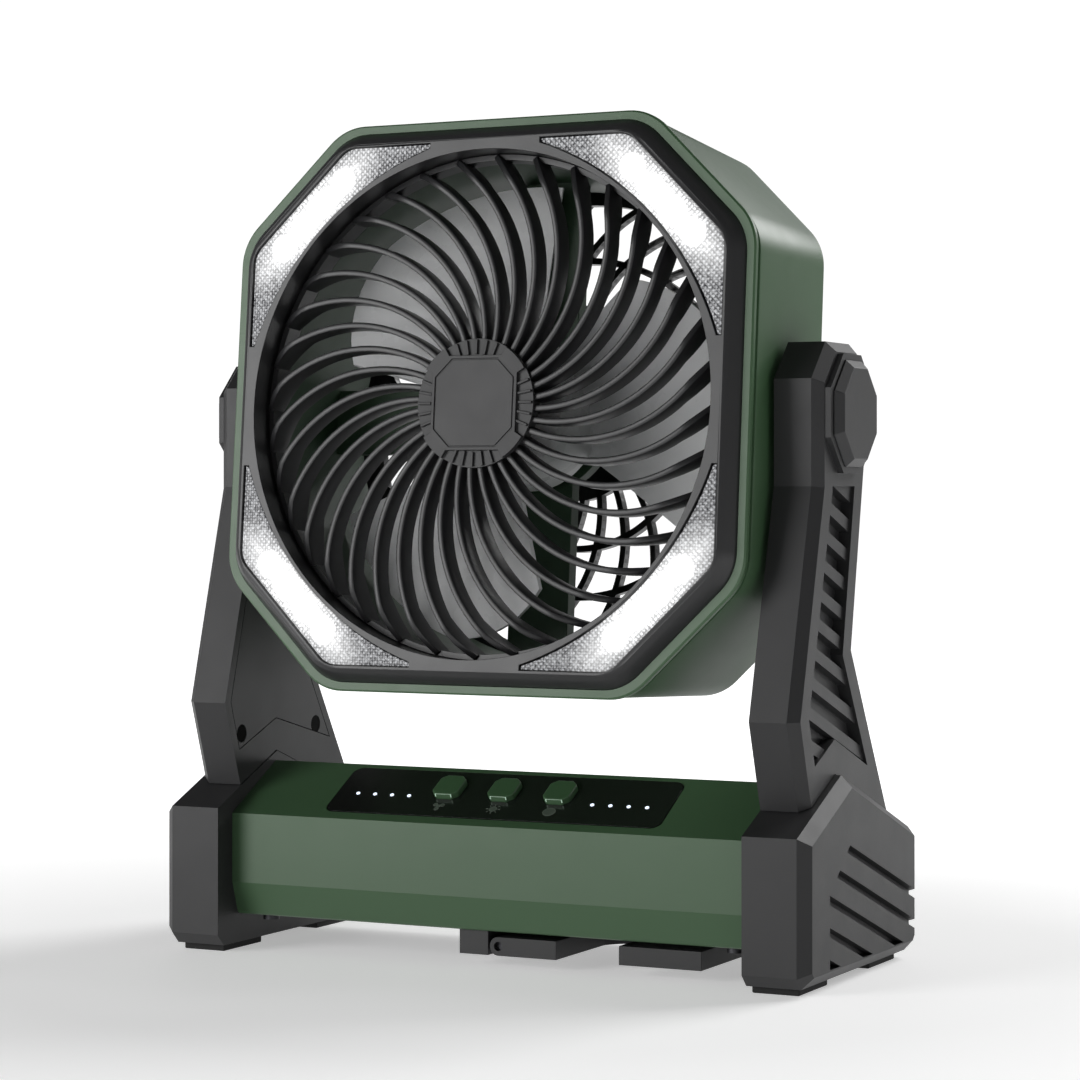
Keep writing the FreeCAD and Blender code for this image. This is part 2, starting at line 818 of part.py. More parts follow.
cap_blank = new_body("cap_blank")
sketch = sketch_on(cap_blank, "YZ_Plane", size.cap_inner)
outline(sketch, cap_loop())
pad(cap_blank, sketch, size.cap_width)
dress(cap_blank, "Chamfer", size.cap_bevel,
      lambda edge: all(at(v.X, cap_outer) for v in edge.Vertexes))
sketch = sketch_on(cap_blank, "YZ_Plane", size.cap_inner)
cavity_reach = size.bar_half_depth - size.bar_toe - 1
outline(sketch, box_corners(-cavity_reach, size.bar_bottom + 1, cavity_reach, size.cap_cavity_height))
pocket(cap_blank, sketch, size.cap_width - size.cap_wall - size.rib_depth, back=True)
sketch = sketch_on(cap_blank, "XY_Plane", size.foot_thickness)
for side in (-1, 1):
    middle = size.foot_reach * side
    across, along = size.foot_width / 2 + size.seat_gap / 3, size.foot_length / 2 + size.seat_gap / 3
    outline(sketch, box_corners(foot_middle - across, middle - along,
                                foot_middle + across, middle + along))
pocket(cap_blank, sketch, size.foot_recess, back=True)
sketch = sketch_on(cap_blank, "XY_Plane", size.tenon_bottom)
outline(sketch, box_corners(tenon_left - fit, -size.tenon_front - fit,
                            tenon_right + fit, size.tenon_rear + fit))
pocket(cap_blank, sketch, size.cap_ridge_height, back=True)
sketch = sketch_on(cap_blank, "XY_Plane", size.cap_cavity_height)
circles(sketch, [(arm_middle, y, hole) for y in (arm_fix_front, arm_fix_rear)])
pocket(cap_blank, sketch, size.tenon_bottom, back=True)
sketch = sketch_on(cap_blank, "YZ_Plane", size.cap_inner)
circles(sketch, [(-cap_screw_y, cap_screw_z, hole), (cap_screw_y, cap_screw_z, hole)])
pocket(cap_blank, sketch, 10, back=True)

cap_window = new_body("cap_window")
sketch = sketch_on(cap_window, "YZ_Plane", cap_outer - size.rib_depth)
outline(sketch, [(-size.cap_window_front, size.cap_window_low), (rear_reach + 5, size.cap_window_low),
                 (rear_reach + 5, size.cap_window_top), (-size.cap_window_notch, size.cap_window_top),
                 (-size.cap_window_front, size.cap_window_corner)])
pad(cap_window, sketch, size.rib_depth + 1)

cap_slots = new_body("cap_slots")
sketch = sketch_on(cap_slots, "YZ_Plane", cap_outer - size.rib_depth)
for step in range(5):
    top = size.rib_pitch * cosine(size.rib_slope) * step
    outline(sketch, box_corners(-20, top - size.cap_slot, 110, top))
pad(cap_slots, sketch, size.rib_depth + 1)
place(cap_slots, y=-size.cap_window_front, z=size.cap_window_low + 3.5, angle=-size.rib_slope)
cut_from(cap_blank, overlap(cap_window, cap_slots, "cap_louvre"), "end_cap_right")
mirror(nodes["end_cap_right"], "end_cap_left")

foot_pads = new_body("foot_pads")
for side in (-1, 1):
    sketch = sketch_on(foot_pads, "XY_Plane", 0)
    for way in (-1, 1):
        outline(sketch, box_corners(foot_middle * side - size.foot_width / 2,
                                    size.foot_reach * way - size.foot_length / 2,
                                    foot_middle * side + size.foot_width / 2,
                                    size.foot_reach * way + size.foot_length / 2))
    pad(foot_pads, sketch, size.foot_thickness + size.foot_recess)
keep(foot_pads)
screws("arm_fixing_screws", "XY_Plane", [(arm_middle * side, y) for side in (-1, 1)
                                         for y in (arm_fix_front, arm_fix_rear)],
       size.cap_cavity_height, size.tenon_bottom - size.cap_cavity_height + 9)


# Arms
def arm_loop(rise=0, top=None):
    """The arm's side outline, from a foot lifted by a share of the lower edges. With top,
    the outline stops at that height instead of round the tilt joint."""
    lift = size.seat_gap
    front = (-size.arm_foot_front, size.cap_ridge_height + lift
             - (size.arm_foot_front + cap_ridge) * front_roof)
    rear = (size.arm_foot_rear, size.cap_ridge_height + lift
            - (size.arm_foot_rear - cap_ridge) * rear_roof)
    kink = (-size.arm_kink_reach, size.arm_kink_height)
    waist = (size.arm_waist, size.arm_waist_height)
    shoulder = (size.arm_head_half, size.pivot_height + size.arm_rear_shoulder)
    rise = as_size(rise)
    loop = [(front[0] + (kink[0] - front[0]) * rise, front[1] + (kink[1] - front[1]) * rise),
            (cap_ridge, size.cap_ridge_height + lift + 30 * rise),
            (rear[0] + (waist[0] - rear[0]) * rise, rear[1] + (waist[1] - rear[1]) * rise), waist]
    if top is not None:
        share = (top - waist[1]) / (shoulder[1] - waist[1])
        loop += [(waist[0] + (shoulder[0] - waist[0]) * share, top), (-size.arm_head_half, top)]
    else:
        peak = size.pivot_height + size.arm_head_height
        cut = size.arm_head_corner
        loop += [shoulder, (size.arm_head_half, peak - cut), (size.arm_head_half - cut, peak),
                 (cut - size.arm_head_half, peak), (-size.arm_head_half, peak - cut)]
    return loop + [(-size.arm_head_half, size.pivot_height - size.arm_shoulder_drop), kink]


cover_loop = inset(arm_loop(size.arm_solid_foot), size.arm_rim)
arm_foot, arm_kink = arm_loop()[0], arm_loop()[-1]
arm_front_edge = arm_foot[0] + ((arm_kink[0] - arm_foot[0]) * (size.arm_screw_height - arm_foot[1])
                                / (arm_kink[1] - arm_foot[1]))
screw_spots = [(arm_front_edge + size.arm_rim + size.screw_head + size.arm_screw_margin,
                size.arm_screw_height), (size.arm_screw_rear, size.arm_screw_height)]
boss_face = arm_outer + size.boss_step

arm_blank = new_body("arm_blank")
sketch = sketch_on(arm_blank, "YZ_Plane", arm_inner)
outline(sketch, arm_loop())
pad(arm_blank, sketch, size.arm_thickness)
dress(arm_blank, "Chamfer", size.arm_bevel, lambda edge: all(
    at(v.X, arm_outer) for v in edge.Vertexes) and edge.BoundBox.ZMax > 80)
sketch = sketch_on(arm_blank, "YZ_Plane", arm_outer - 1)
outline(sketch, moved(octagon(size.boss_octagon, size.boss_octagon * 0.5858), 0, size.pivot_height))
pad(arm_blank, sketch, size.boss_step + 1)
sketch = sketch_on(arm_blank, "XY_Plane", size.tenon_bottom)
outline(sketch, box_corners(tenon_left, -size.tenon_front, tenon_right, size.tenon_rear))
pad(arm_blank, sketch, size.cap_ridge_height + 1.5 - size.tenon_bottom)
sketch = sketch_on(arm_blank, "YZ_Plane", arm_inner)
outline(sketch, cover_loop)
pocket(arm_blank, sketch, size.cover_thickness, back=True)
sketch = sketch_on(arm_blank, "YZ_Plane", arm_inner)
outline(sketch, inset(cover_loop, size.arm_ledge))
pocket(arm_blank, sketch, size.arm_cavity, back=True)
sketch = sketch_on(arm_blank, "YZ_Plane", arm_inner)
circles(sketch, [(0, size.pivot_height, size.arm_boss_radius)])
pad(arm_blank, sketch, size.arm_cavity + 0.5)
sketch = sketch_on(arm_blank, "YZ_Plane", arm_inner + size.cover_thickness)
circles(sketch, [spot + (size.pillar_radius,) for spot in screw_spots])
pad(arm_blank, sketch, size.arm_cavity - size.cover_thickness + 0.5)
sketch = sketch_on(arm_blank, "YZ_Plane", arm_inner)
circles(sketch, [(0, size.pivot_height, size.pin_radius + size.journal_clearance)])
pocket(arm_blank, sketch, size.arm_thickness, back=True)
sketch = sketch_on(arm_blank, "YZ_Plane", boss_face)
circles(sketch, [(0, size.pivot_height, size.pocket_radius)])
pocket(arm_blank, sketch, boss_face - arm_inner - size.hub_wall)
sketch = sketch_on(arm_blank, "YZ_Plane", arm_inner + size.cover_thickness)
circles(sketch, [spot + (hole,) for spot in screw_spots])
pocket(arm_blank, sketch, 7, back=True)
sketch = sketch_on(arm_blank, "XY_Plane", size.tenon_bottom)
circles(sketch, [(arm_middle, y, hole) for y in (arm_fix_front, arm_fix_rear)])
pocket(arm_blank, sketch, 10, back=True)
window_loop = inset(arm_loop(0, size.arm_window_top), size.arm_window_margin)
sketch = sketch_on(arm_blank, "YZ_Plane", arm_outer)
outline(sketch, window_loop)
pocket(arm_blank, sketch, size.arm_window_sink)

arm_window = new_body("arm_window")
sketch = sketch_on(arm_window, "YZ_Plane", arm_outer - size.arm_window_sink - size.rib_depth)
outline(sketch, window_loop)
pad(arm_window, sketch, size.rib_depth + 1)

arm_slots = new_body("arm_slots")
sketch = sketch_on(arm_slots, "YZ_Plane", arm_outer - size.arm_window_sink - size.rib_depth)
for step in range(11):
    top = size.rib_pitch * cosine(size.rib_slope) * step
    gap = size.rib_pitch * cosine(size.rib_slope) - size.rib_width
    outline(sketch, box_corners(-60, top - gap, 90, top))
pad(arm_slots, sketch, size.rib_depth + 1)
place(arm_slots, y=-size.arm_head_half, z=size.cap_ridge_height - 4, angle=-size.rib_slope)
cut_from(arm_blank, overlap(arm_window, arm_slots, "arm_louvre"), "arm_right")
mirror(nodes["arm_right"], "arm_left")

arm_cover = new_body("arm_cover_right")
sketch = sketch_on(arm_cover, "YZ_Plane", arm_inner)
outline(sketch, inset(cover_loop, size.seat_gap))
pad(arm_cover, sketch, size.cover_thickness)
sketch = sketch_on(arm_cover, "YZ_Plane", arm_inner)
circles(sketch, [(0, size.pivot_height, size.arm_boss_radius + size.seat_gap)]
        + [spot + (hole,) for spot in screw_spots])
pocket(arm_cover, sketch, size.cover_thickness, back=True)
sketch = sketch_on(arm_cover, "YZ_Plane", arm_inner)
circles(sketch, [spot + (size.arm_screw_hole,) for spot in screw_spots])
pocket(arm_cover, sketch, size.cover_thickness / 2, back=True)
keep(arm_cover)
mirror(arm_cover, "arm_cover_left")

arm_screws = new_body("arm_screws_right")
sketch = sketch_on(arm_screws, "YZ_Plane", arm_inner + 0.15)
circles(sketch, [spot + (size.screw_head,) for spot in screw_spots])
pad(arm_screws, sketch, size.cover_thickness / 2 - 0.15)
sketch = sketch_on(arm_screws, "YZ_Plane", arm_inner + size.cover_thickness / 2)
circles(sketch, [spot + (size.screw_shank,) for spot in screw_spots])
pad(arm_screws, sketch, 7)
keep(arm_screws)
mirror(arm_screws, "arm_screws_left")

pivot_cap = new_body("pivot_cap_right")
sketch = sketch_on(pivot_cap, "YZ_Plane", boss_face)
outline(sketch, moved(octagon(size.cap_octagon, size.cap_octagon * 0.5858), 0, size.pivot_height))
pad(pivot_cap, sketch, size.cap_octagon_thickness)
dress(pivot_cap, "Chamfer", size.cap_octagon_bevel, lambda edge: all(
    at(v.X, boss_face + size.cap_octagon_thickness) for v in edge.Vertexes))
sketch = sketch_on(pivot_cap, "YZ_Plane", boss_face)
circles(sketch, [(0, size.pivot_height, size.pocket_radius - size.seat_gap)])
pad(pivot_cap, sketch, 4, back=True)
keep(pivot_cap)
mirror(pivot_cap, "pivot_cap_left")


# Head shell
def front_octagon(grow):
    """The bezel's outer outline, moved outwards by grow."""
    return octagon(size.bezel_half + grow, size.bezel_corner + 0.5858 * grow)


wall = size.shell_wall
rim_back = size.rim_front - size.rim_thickness
groove_back = rim_back - size.rim_groove
pillar_x = size.lamp_board_middle
pillar_front = size.rim_front - size.bezel_skirt - size.seat_gap
boss_x = arm_inner - size.washer_thickness - 0.2

head_shell = new_body("head_shell")
rear = sketch_on(head_shell, "XY_Plane", -size.shell_rear)
outline(rear, rounded(octagon(size.shell_rear_half, size.shell_rear_corner), size.head_round))
front = sketch_on(head_shell, "XY_Plane", groove_back)
outline(front, rounded(octagon(size.shell_front_half, size.head_corner), size.head_round))
loft(head_shell, [rear, front])
sketch = sketch_on(head_shell, "XY_Plane", groove_back)
neck = size.shell_front_half - size.groove_depth
outline(sketch, rounded(octagon(neck, size.head_corner - 0.4), size.head_round))
pad(head_shell, sketch, size.rim_groove)
sketch = sketch_on(head_shell, "XY_Plane", rim_back)
outline(sketch, rounded(octagon(size.head_half, size.head_corner), size.head_round))
pad(head_shell, sketch, size.rim_thickness)
rear = sketch_on(head_shell, "XY_Plane", -size.shell_rear)
outline(rear, rounded(octagon(size.shell_rear_half - wall, size.shell_rear_corner - 0.5858 * wall),
                      size.head_round - wall))
front = sketch_on(head_shell, "XY_Plane", size.rim_front)
outline(front, rounded(front_octagon(size.seat_gap), size.head_round - wall))
loft(head_shell, [rear, front], cut=True)
sketch = turned_sketch(head_shell, -size.pillar_back, 45)
circles(sketch, [(pillar_x, size.pillar_reach, size.pillar_radius)])
post = pad(head_shell, sketch, size.pillar_back + pillar_front)
sketch = turned_sketch(head_shell, -size.pillar_back, 45)
outline(sketch, box_corners(pillar_x + 2, size.pillar_reach - size.pillar_web / 2,
                            pillar_x + 14.6, size.pillar_reach + size.pillar_web / 2))
web = pad(head_shell, sketch, size.pillar_back + pillar_front - 2)
around(head_shell, [post, web], 4)
for side in (-1, 1):
    sketch = sketch_on(head_shell, "YZ_Plane", boss_x * side)
    circles(sketch, [(0, 0, size.boss_radius)])
    pad(head_shell, sketch, size.boss_depth, back=side > 0)
sketch = sketch_on(head_shell, "YZ_Plane", -boss_x)
circles(sketch, [(0, 0, size.pin_radius + size.journal_clearance)])
pocket(head_shell, sketch, boss_x * 2, back=True)
sketch = turned_sketch(head_shell, -size.pillar_back, 45)
circles(sketch, [(pillar_x, size.pillar_reach, hole)])
bore = pocket(head_shell, sketch, 20, back=True)
sketch = turned_sketch(head_shell, pillar_front, 45)
circles(sketch, [(pillar_x, size.pillar_reach, hole)])
front_bore = pocket(head_shell, sketch, 14)
around(head_shell, [bore, front_bore], 4)
place_in_head(head_shell)
keep(head_shell)

# Tilt pins, their washers and screws
flange_out = boss_x - size.boss_depth
pin_end = arm_inner + size.hub_wall
pivot_pin = new_body("pivot_pin_right")
sketch = sketch_on(pivot_pin, "YZ_Plane", flange_out - size.pin_flange_thickness)
circles(sketch, [(0, 0, size.pin_flange)])
pad(pivot_pin, sketch, size.pin_flange_thickness)
sketch = sketch_on(pivot_pin, "YZ_Plane", flange_out)
circles(sketch, [(0, 0, size.pin_radius)])
pad(pivot_pin, sketch, pin_end - flange_out)
sketch = sketch_on(pivot_pin, "YZ_Plane", pin_end)
circles(sketch, [(0, 0, hole)])
pocket(pivot_pin, sketch, 12)
place_in_head(pivot_pin)
keep(pivot_pin)
mirror(pivot_pin, "pivot_pin_left")

washer = new_body("pivot_washer_right")
sketch = sketch_on(washer, "YZ_Plane", boss_x + 0.1)
circles(sketch, [(0, 0, size.boss_radius), (0, 0, size.pin_radius + size.seat_gap)])
pad(washer, sketch, size.washer_thickness)
place_in_head(washer)
keep(washer)
mirror(washer, "pivot_washer_left")

pivot_screw = new_body("pivot_screw_right")
sketch = sketch_on(pivot_screw, "YZ_Plane", pin_end + 0.1)
circles(sketch, [(0, 0, size.pivot_screw_head)])
pad(pivot_screw, sketch, size.screw_head_height)
sketch = sketch_on(pivot_screw, "YZ_Plane", pin_end + 0.1)
circles(sketch, [(0, 0, size.screw_shank)])
pad(pivot_screw, sketch, 11, back=True)
place_in_head(pivot_screw)
keep(pivot_screw)
mirror(pivot_screw, "pivot_screw_left")


# Bezel, lamps and front grille
def lens_loop(grow):
    half, corner = size.lens_half + grow, size.lens_corner + 0.5858 * grow
    tail = size.lens_tail - grow
    inner = size.lens_half - size.lens_tail_width - grow
    return [(half, tail), (half, half - corner), (half - corner, half), (tail, half),
            (tail, inner, -size.lens_inner_curve), (inner, tail)]


lens_front = bezel_face - size.lens_sink
tray = bezel_face - size.tray_depth + size.tray_thickness
skirt_back = size.rim_front - size.bezel_skirt

front_bezel = new_body("front_bezel")
sketch = sketch_on(front_bezel, "XY_Plane", skirt_back)
outline(sketch, rounded(front_octagon(0), size.head_round - wall))
pad(front_bezel, sketch, size.bezel_skirt)
low = sketch_on(front_bezel, "XY_Plane", size.rim_front)
outline(low, rounded(front_octagon(0), size.head_round - wall))
high = sketch_on(front_bezel, "XY_Plane", bezel_face)
outline(high, rounded(octagon(size.bezel_face_half, size.bezel_face_corner), size.head_round - wall))
loft(front_bezel, [low, high])
throat_back = bezel_face - size.throat_depth
sketch = sketch_on(front_bezel, "XY_Plane", throat_back)
circles(sketch, [(0, 0, size.opening_radius + size.throat_wall)])
pad(front_bezel, sketch, size.throat_depth - size.tray_depth + 1)
sketch = sketch_on(front_bezel, "XY_Plane", throat_back)
circles(sketch, [(0, 0, size.opening_radius)])
pocket(front_bezel, sketch, size.throat_depth + 1, back=True)
sketch = sketch_on(front_bezel, "XY_Plane", bezel_face)
outline(sketch, lens_loop(size.lens_gap))
seat = pocket(front_bezel, sketch, size.lens_sink + size.lens_thickness)
sketch = turned_sketch(front_bezel, bezel_face, 45)
outline(sketch, box_corners(pillar_x - size.lamp_chamber_half_width - 0.3, -size.lamp_chamber_half,
                            pillar_x + size.lamp_chamber_half_width - 0.3, size.lamp_chamber_half))
chamber = pocket(front_bezel, sketch, size.tray_depth - size.tray_thickness)
sketch = turned_sketch(front_bezel, bezel_face, 45)
circles(sketch, [(pillar_x, size.pillar_reach, hole)])
bore = pocket(front_bezel, sketch, size.tray_depth + 1)
around(front_bezel, [seat, chamber, bore], 4)
place_in_head(front_bezel)
keep(front_bezel)

corners = ["top_right", "top_left", "bottom_left", "bottom_right"]
for index, corner in enumerate(corners):
    lens = new_body("lens_" + corner)
    sketch = turned_sketch(lens, lens_front - size.lens_thickness, 90 * index)
    outline(sketch, lens_loop(0))
    pad(lens, sketch, size.lens_thickness)
    place_in_head(lens)
    keep(lens)
    board = new_body("lamp_board_" + corner)
    sketch = turned_sketch(board, tray, 45 + 90 * index)
    outline(sketch, box_corners(
        pillar_x - 0.3 - size.lamp_board_half_width, -size.lamp_board_half_length,
        pillar_x - 0.3 + size.lamp_board_half_width, size.lamp_board_half_length))
    pad(board, sketch, size.board_thickness)
    place_in_head(board)
    keep(board)

led_chips = new_body("led_chips")
sketch = turned_sketch(led_chips, tray + size.board_thickness, 45)
circles(sketch, [(pillar_x, size.chip_spacing * (step - 1.5), size.chip_radius)
                 for step in range(4)])
row = pad(led_chips, sketch, size.chip_height)
around(led_chips, [row], 4)
place_in_head(led_chips)
keep(led_chips)


def head_screws(label, seat, shank, flip):
    """Four corner screws of the head, with their heads on the plane z = seat."""
    body = new_body(label)
    tall = size.screw_head_height
    sketch = turned_sketch(body, seat if flip else seat - tall, 45)
    circles(sketch, [(pillar_x, size.pillar_reach, size.screw_head)])
    knob = pad(body, sketch, tall)
    sketch = turned_sketch(body, seat, 45)
    circles(sketch, [(pillar_x, size.pillar_reach, size.screw_shank)])
    rod = pad(body, sketch, shank, back=flip)
    around(body, [knob, rod], 4)
    place_in_head(body)
    keep(body)


head_screws("bezel_screws", tray, size.bezel_skirt + 9, True)


def bent_rib(first, last, start, finish, width, hand):
    """A curved rib from radius first to radius last. The angles are measured from the
    top, and hand is 1 for ribs that lean to the left going outwards, -1 for the right."""
    foot = (first * sine(start) * hand, first * cosine(start))
    tip = (-last * sine(finish) * hand, last * cosine(finish))
    across, along = tip[0] - foot[0], tip[1] - foot[1]
    length = root(across * across + along * along)
    curve = size.rib_curve
    away = root(curve * curve - length * length / 4)
    middle = ((foot[0] + tip[0]) / 2 - along / length * away * hand,
              (foot[1] + tip[1]) / 2 + across / length * away * hand)

    def off(point, distance):
        return tuple(point[k] + (middle[k] - point[k]) / curve * distance for k in (0, 1))

    half = width / 2
    return [off(foot, half) + ((curve - half) * hand,), off(tip, half),
            off(tip, -half) + ((curve + half) * -hand,), off(foot, -half)]


ring_outer = size.opening_radius - size.seat_gap
ring_inner = ring_outer - size.grille_ring_wall
ring_top = size.rib_back
front_grille = new_body("front_grille")
sketch = sketch_on(front_grille, "XY_Plane", size.rib_back - size.grille_ring_depth)
outline(sketch, bent_rib(size.hub_radius - 1, ring_outer - 1, size.rib_root_angle,
                         size.rib_tip_angle, size.rib_thickness, 1))
rib = pad(front_grille, sketch, size.rib_front - size.rib_back + size.grille_ring_depth)
around(front_grille, [rib], size.rib_count)
sketch = sketch_on(front_grille, "XZ_Plane", 0)
outline(sketch, [(size.rib_knee, size.rib_front), (ring_outer, ring_top),
                 (ring_outer + 2, ring_top), (ring_outer + 2, size.rib_front + 1),
                 (size.rib_knee, size.rib_front + 1)])
spin(front_grille, sketch, cut=True)
sketch = sketch_on(front_grille, "XZ_Plane", 0)
back = size.rib_back - size.grille_ring_depth
outline(sketch, [(0, back - 1), (ring_inner + 1, back - 1), (ring_inner + 1, back),
                 (size.rib_knee - 3, size.rib_back), (0, size.rib_back)])
spin(front_grille, sketch, cut=True)
sketch = sketch_on(front_grille, "XY_Plane", back)
circles(sketch, [(0, 0, ring_outer), (0, 0, ring_inner)])
pad(front_grille, sketch, size.grille_ring_depth)
sketch = sketch_on(front_grille, "XY_Plane", size.rib_back + 2)
circles(sketch, [(0, 0, size.hub_radius), (0, 0, 8 + size.journal_clearance)])
pad(front_grille, sketch, size.rib_front - size.rib_back - 2)
place_in_head(front_grille)
keep(front_grille)

cap_back = size.rib_front + 0.2
cap_face = cap_back + size.hub_cap_thickness
hub_cap = new_body("hub_cap")
sketch = sketch_on(hub_cap, "XY_Plane", cap_back)
circles(sketch, [(0, 0, size.hub_cap_radius)])
pad(hub_cap, sketch, size.hub_cap_thickness)
sketch = sketch_on(hub_cap, "XY_Plane", cap_back)
circles(sketch, [(0, 0, 8)])
pad(hub_cap, sketch, 4, back=True)
recess_wide = size.hub_recess_half * (size.hub_cap_radius + 2) / size.hub_recess_low
sketch = sketch_on(hub_cap, "XY_Plane", cap_face)
outline(sketch, [(size.hub_recess_low, -size.hub_recess_half), (size.hub_cap_radius + 2, -recess_wide),
                 (size.hub_cap_radius + 2, recess_wide), (size.hub_recess_low, size.hub_recess_half)])
recess = pocket(hub_cap, sketch, size.hub_recess_depth)
sketch = sketch_on(hub_cap, "XY_Plane", cap_face - size.hub_recess_depth)
for step in range(-2, 3):
    outline(sketch, turned(box_corners(size.hub_recess_low + 0.6, -size.hub_slat_width / 2,
                                       size.hub_cap_radius - 0.3, size.hub_slat_width / 2),
                           size.hub_slat_step * step))
slats = pad(hub_cap, sketch, size.hub_slat_height)
around(hub_cap, [recess, slats], 4)
sketch = sketch_on(hub_cap, "XY_Plane", cap_face)
outline(sketch, octagon(size.hub_panel_half, size.hub_panel_half * 0.41))
outline(sketch, octagon(size.hub_panel_half - 1, (size.hub_panel_half - 1) * 0.41))
pocket(hub_cap, sketch, size.hub_recess_depth / 3)
place_in_head(hub_cap)
keep(hub_cap)

# Duct with the motor on its struts
duct_outer = size.duct_radius + size.duct_wall
frame_back = size.pillar_back + 3
mount_front = -size.motor_back
mount_back = mount_front - size.mount_thickness
fan_frame = new_body("fan_frame")
sketch = sketch_on(fan_frame, "XY_Plane", -frame_back)
circles(sketch, [(0, 0, duct_outer), (0, 0, size.duct_radius)])
pad(fan_frame, sketch, frame_back + back - size.seat_gap)
sketch = sketch_on(fan_frame, "XY_Plane", mount_back)
outline(sketch, box_corners(size.mount_radius - 6, -size.guard_strut_half,
                            size.duct_radius + 1, size.guard_strut_half))
strut = pad(fan_frame, sketch, size.mount_thickness)
sketch = turned_sketch(fan_frame, -frame_back, 45)
outline(sketch, box_corners(duct_outer - 3.7, size.pillar_reach - 5,
                            pillar_x + size.pillar_radius, size.pillar_reach + 5))
tab = pad(fan_frame, sketch, 3)
sketch = turned_sketch(fan_frame, -frame_back, 45)
circles(sketch, [(pillar_x, size.pillar_reach, hole)])
bore = pocket(fan_frame, sketch, 3, back=True)
around(fan_frame, [strut, tab, bore], 4)
sketch = sketch_on(fan_frame, "XY_Plane", mount_back)
circles(sketch, [(0, 0, size.mount_radius)])
pad(fan_frame, sketch, size.mount_thickness)
motor_spots = [(size.motor_screw_circle * cosine(turn), size.motor_screw_circle * sine(turn))
               for turn in (90, 210, 330)]
sketch = sketch_on(fan_frame, "XY_Plane", mount_back)
circles(sketch, [spot + (hole,) for spot in motor_spots])
pocket(fan_frame, sketch, size.mount_thickness, back=True)
place_in_head(fan_frame)
keep(fan_frame)

shaft_hole = size.shaft_radius + size.journal_clearance
motor_can = new_body("motor_can")
sketch = sketch_on(motor_can, "XY_Plane", mount_front)
circles(sketch, [(0, 0, size.motor_radius), (0, 0, size.shaft_radius + 0.7)])
pad(motor_can, sketch, size.motor_front + size.motor_back)
sketch = sketch_on(motor_can, "XY_Plane", mount_front)
circles(sketch, [(0, 0, size.bearing_radius + size.journal_clearance)])
pocket(motor_can, sketch, size.bearing_width, back=True)
sketch = sketch_on(motor_can, "XY_Plane", size.motor_front)
circles(sketch, [(0, 0, size.bearing_radius + size.journal_clearance)])
pocket(motor_can, sketch, size.bearing_width)
sketch = sketch_on(motor_can, "XY_Plane", mount_front)
circles(sketch, [spot + (hole,) for spot in motor_spots])
pocket(motor_can, sketch, 8, back=True)
place_in_head(motor_can)
keep(motor_can)

motor_bearings = new_body("motor_bearings")
for start in (mount_front, size.motor_front - size.bearing_width):
    sketch = sketch_on(motor_bearings, "XY_Plane", start)
    circles(sketch, [(0, 0, size.bearing_radius), (0, 0, shaft_hole)])
    pad(motor_bearings, sketch, size.bearing_width)
place_in_head(motor_bearings)
keep(motor_bearings)
place_in_head(screws("motor_screws", "XY_Plane", motor_spots, mount_back, size.mount_thickness + 7))

# Rotor
fan_blades = new_body("fan_blades")
sketch = sketch_on(fan_blades, "XY_Plane", size.rotor_hub_back)
circles(sketch, [(0, 0, size.rotor_hub_radius)])
pad(fan_blades, sketch, size.rotor_hub_front - size.rotor_hub_back)
sections = []
for reach, half in ((size.blade_root, size.blade_root_half),
                    (size.blade_radius + 1.5, size.blade_tip_half)):
    section = sketch_on(fan_blades, "YZ_Plane", reach)
    rise, half_wall = size.blade_rise / 2, size.blade_thickness / 2
    mid = size.blade_middle
    outline(section, [(-half, mid - rise - half_wall), (half, mid + rise - half_wall),
                      (half, mid + rise + half_wall), (-half, mid - rise + half_wall)])
    sections.append(section)
blade = loft(fan_blades, sections)
sketch = sketch_on(fan_blades, "XY_Plane", size.rotor_hub_front + 10)
circles(sketch, [(0, 0, size.blade_radius), (0, 0, size.blade_radius * 1.5)])
trim = pocket(fan_blades, sketch, 60)
sketch = sketch_on(fan_blades, "XY_Plane", size.rotor_hub_front + 10)
outline(sketch, [(size.lead_start, size.lead_height), (size.lead_x, size.lead_y, size.lead_round),
                 (size.blade_radius + 1.5, size.lead_end), (size.blade_radius * 1.5, size.lead_end),
                 (size.blade_radius * 1.5, size.blade_radius), (size.lead_start, size.blade_radius)])
lead = pocket(fan_blades, sketch, 60)
around(fan_blades, [blade, trim, lead], size.blade_count)
sketch = sketch_on(fan_blades, "XY_Plane", size.rotor_hub_back)
circles(sketch, [(0, 0, size.rotor_hub_radius - size.rotor_hub_wall)])
pocket(fan_blades, sketch, size.rotor_hub_front - size.rotor_hub_back - size.rotor_hub_face, back=True)
sketch = sketch_on(fan_blades, "XY_Plane", size.rotor_hub_front)
circles(sketch, [(0, 0, shaft_hole)])
pocket(fan_blades, sketch, size.rotor_hub_face + 1)
keep(fan_blades)
fan_blades.setExpression("Placement", (
    "create(<<placement>>; create(<<vector>>; 0; 0; %s); "
    "create(<<rotation>>; create(<<vector>>; 1; 0; 0); %s)) * "
    "create(<<placement>>; create(<<vector>>; 0; 0; 0); "
    "create(<<rotation>>; create(<<vector>>; 0; 0; 1); %s))")
    % (size.pivot_height.text, (90 - size.head_tilt).text, size.blade_phase.text))

motor_shaft = new_body("motor_shaft")
sketch = sketch_on(motor_shaft, "XY_Plane", mount_front + 0.4)
circles(sketch, [(0, 0, size.shaft_radius)])
pad(motor_shaft, sketch, size.rotor_hub_front + size.motor_back + size.nut_thickness)
place_in_head(motor_shaft)
keep(motor_shaft)

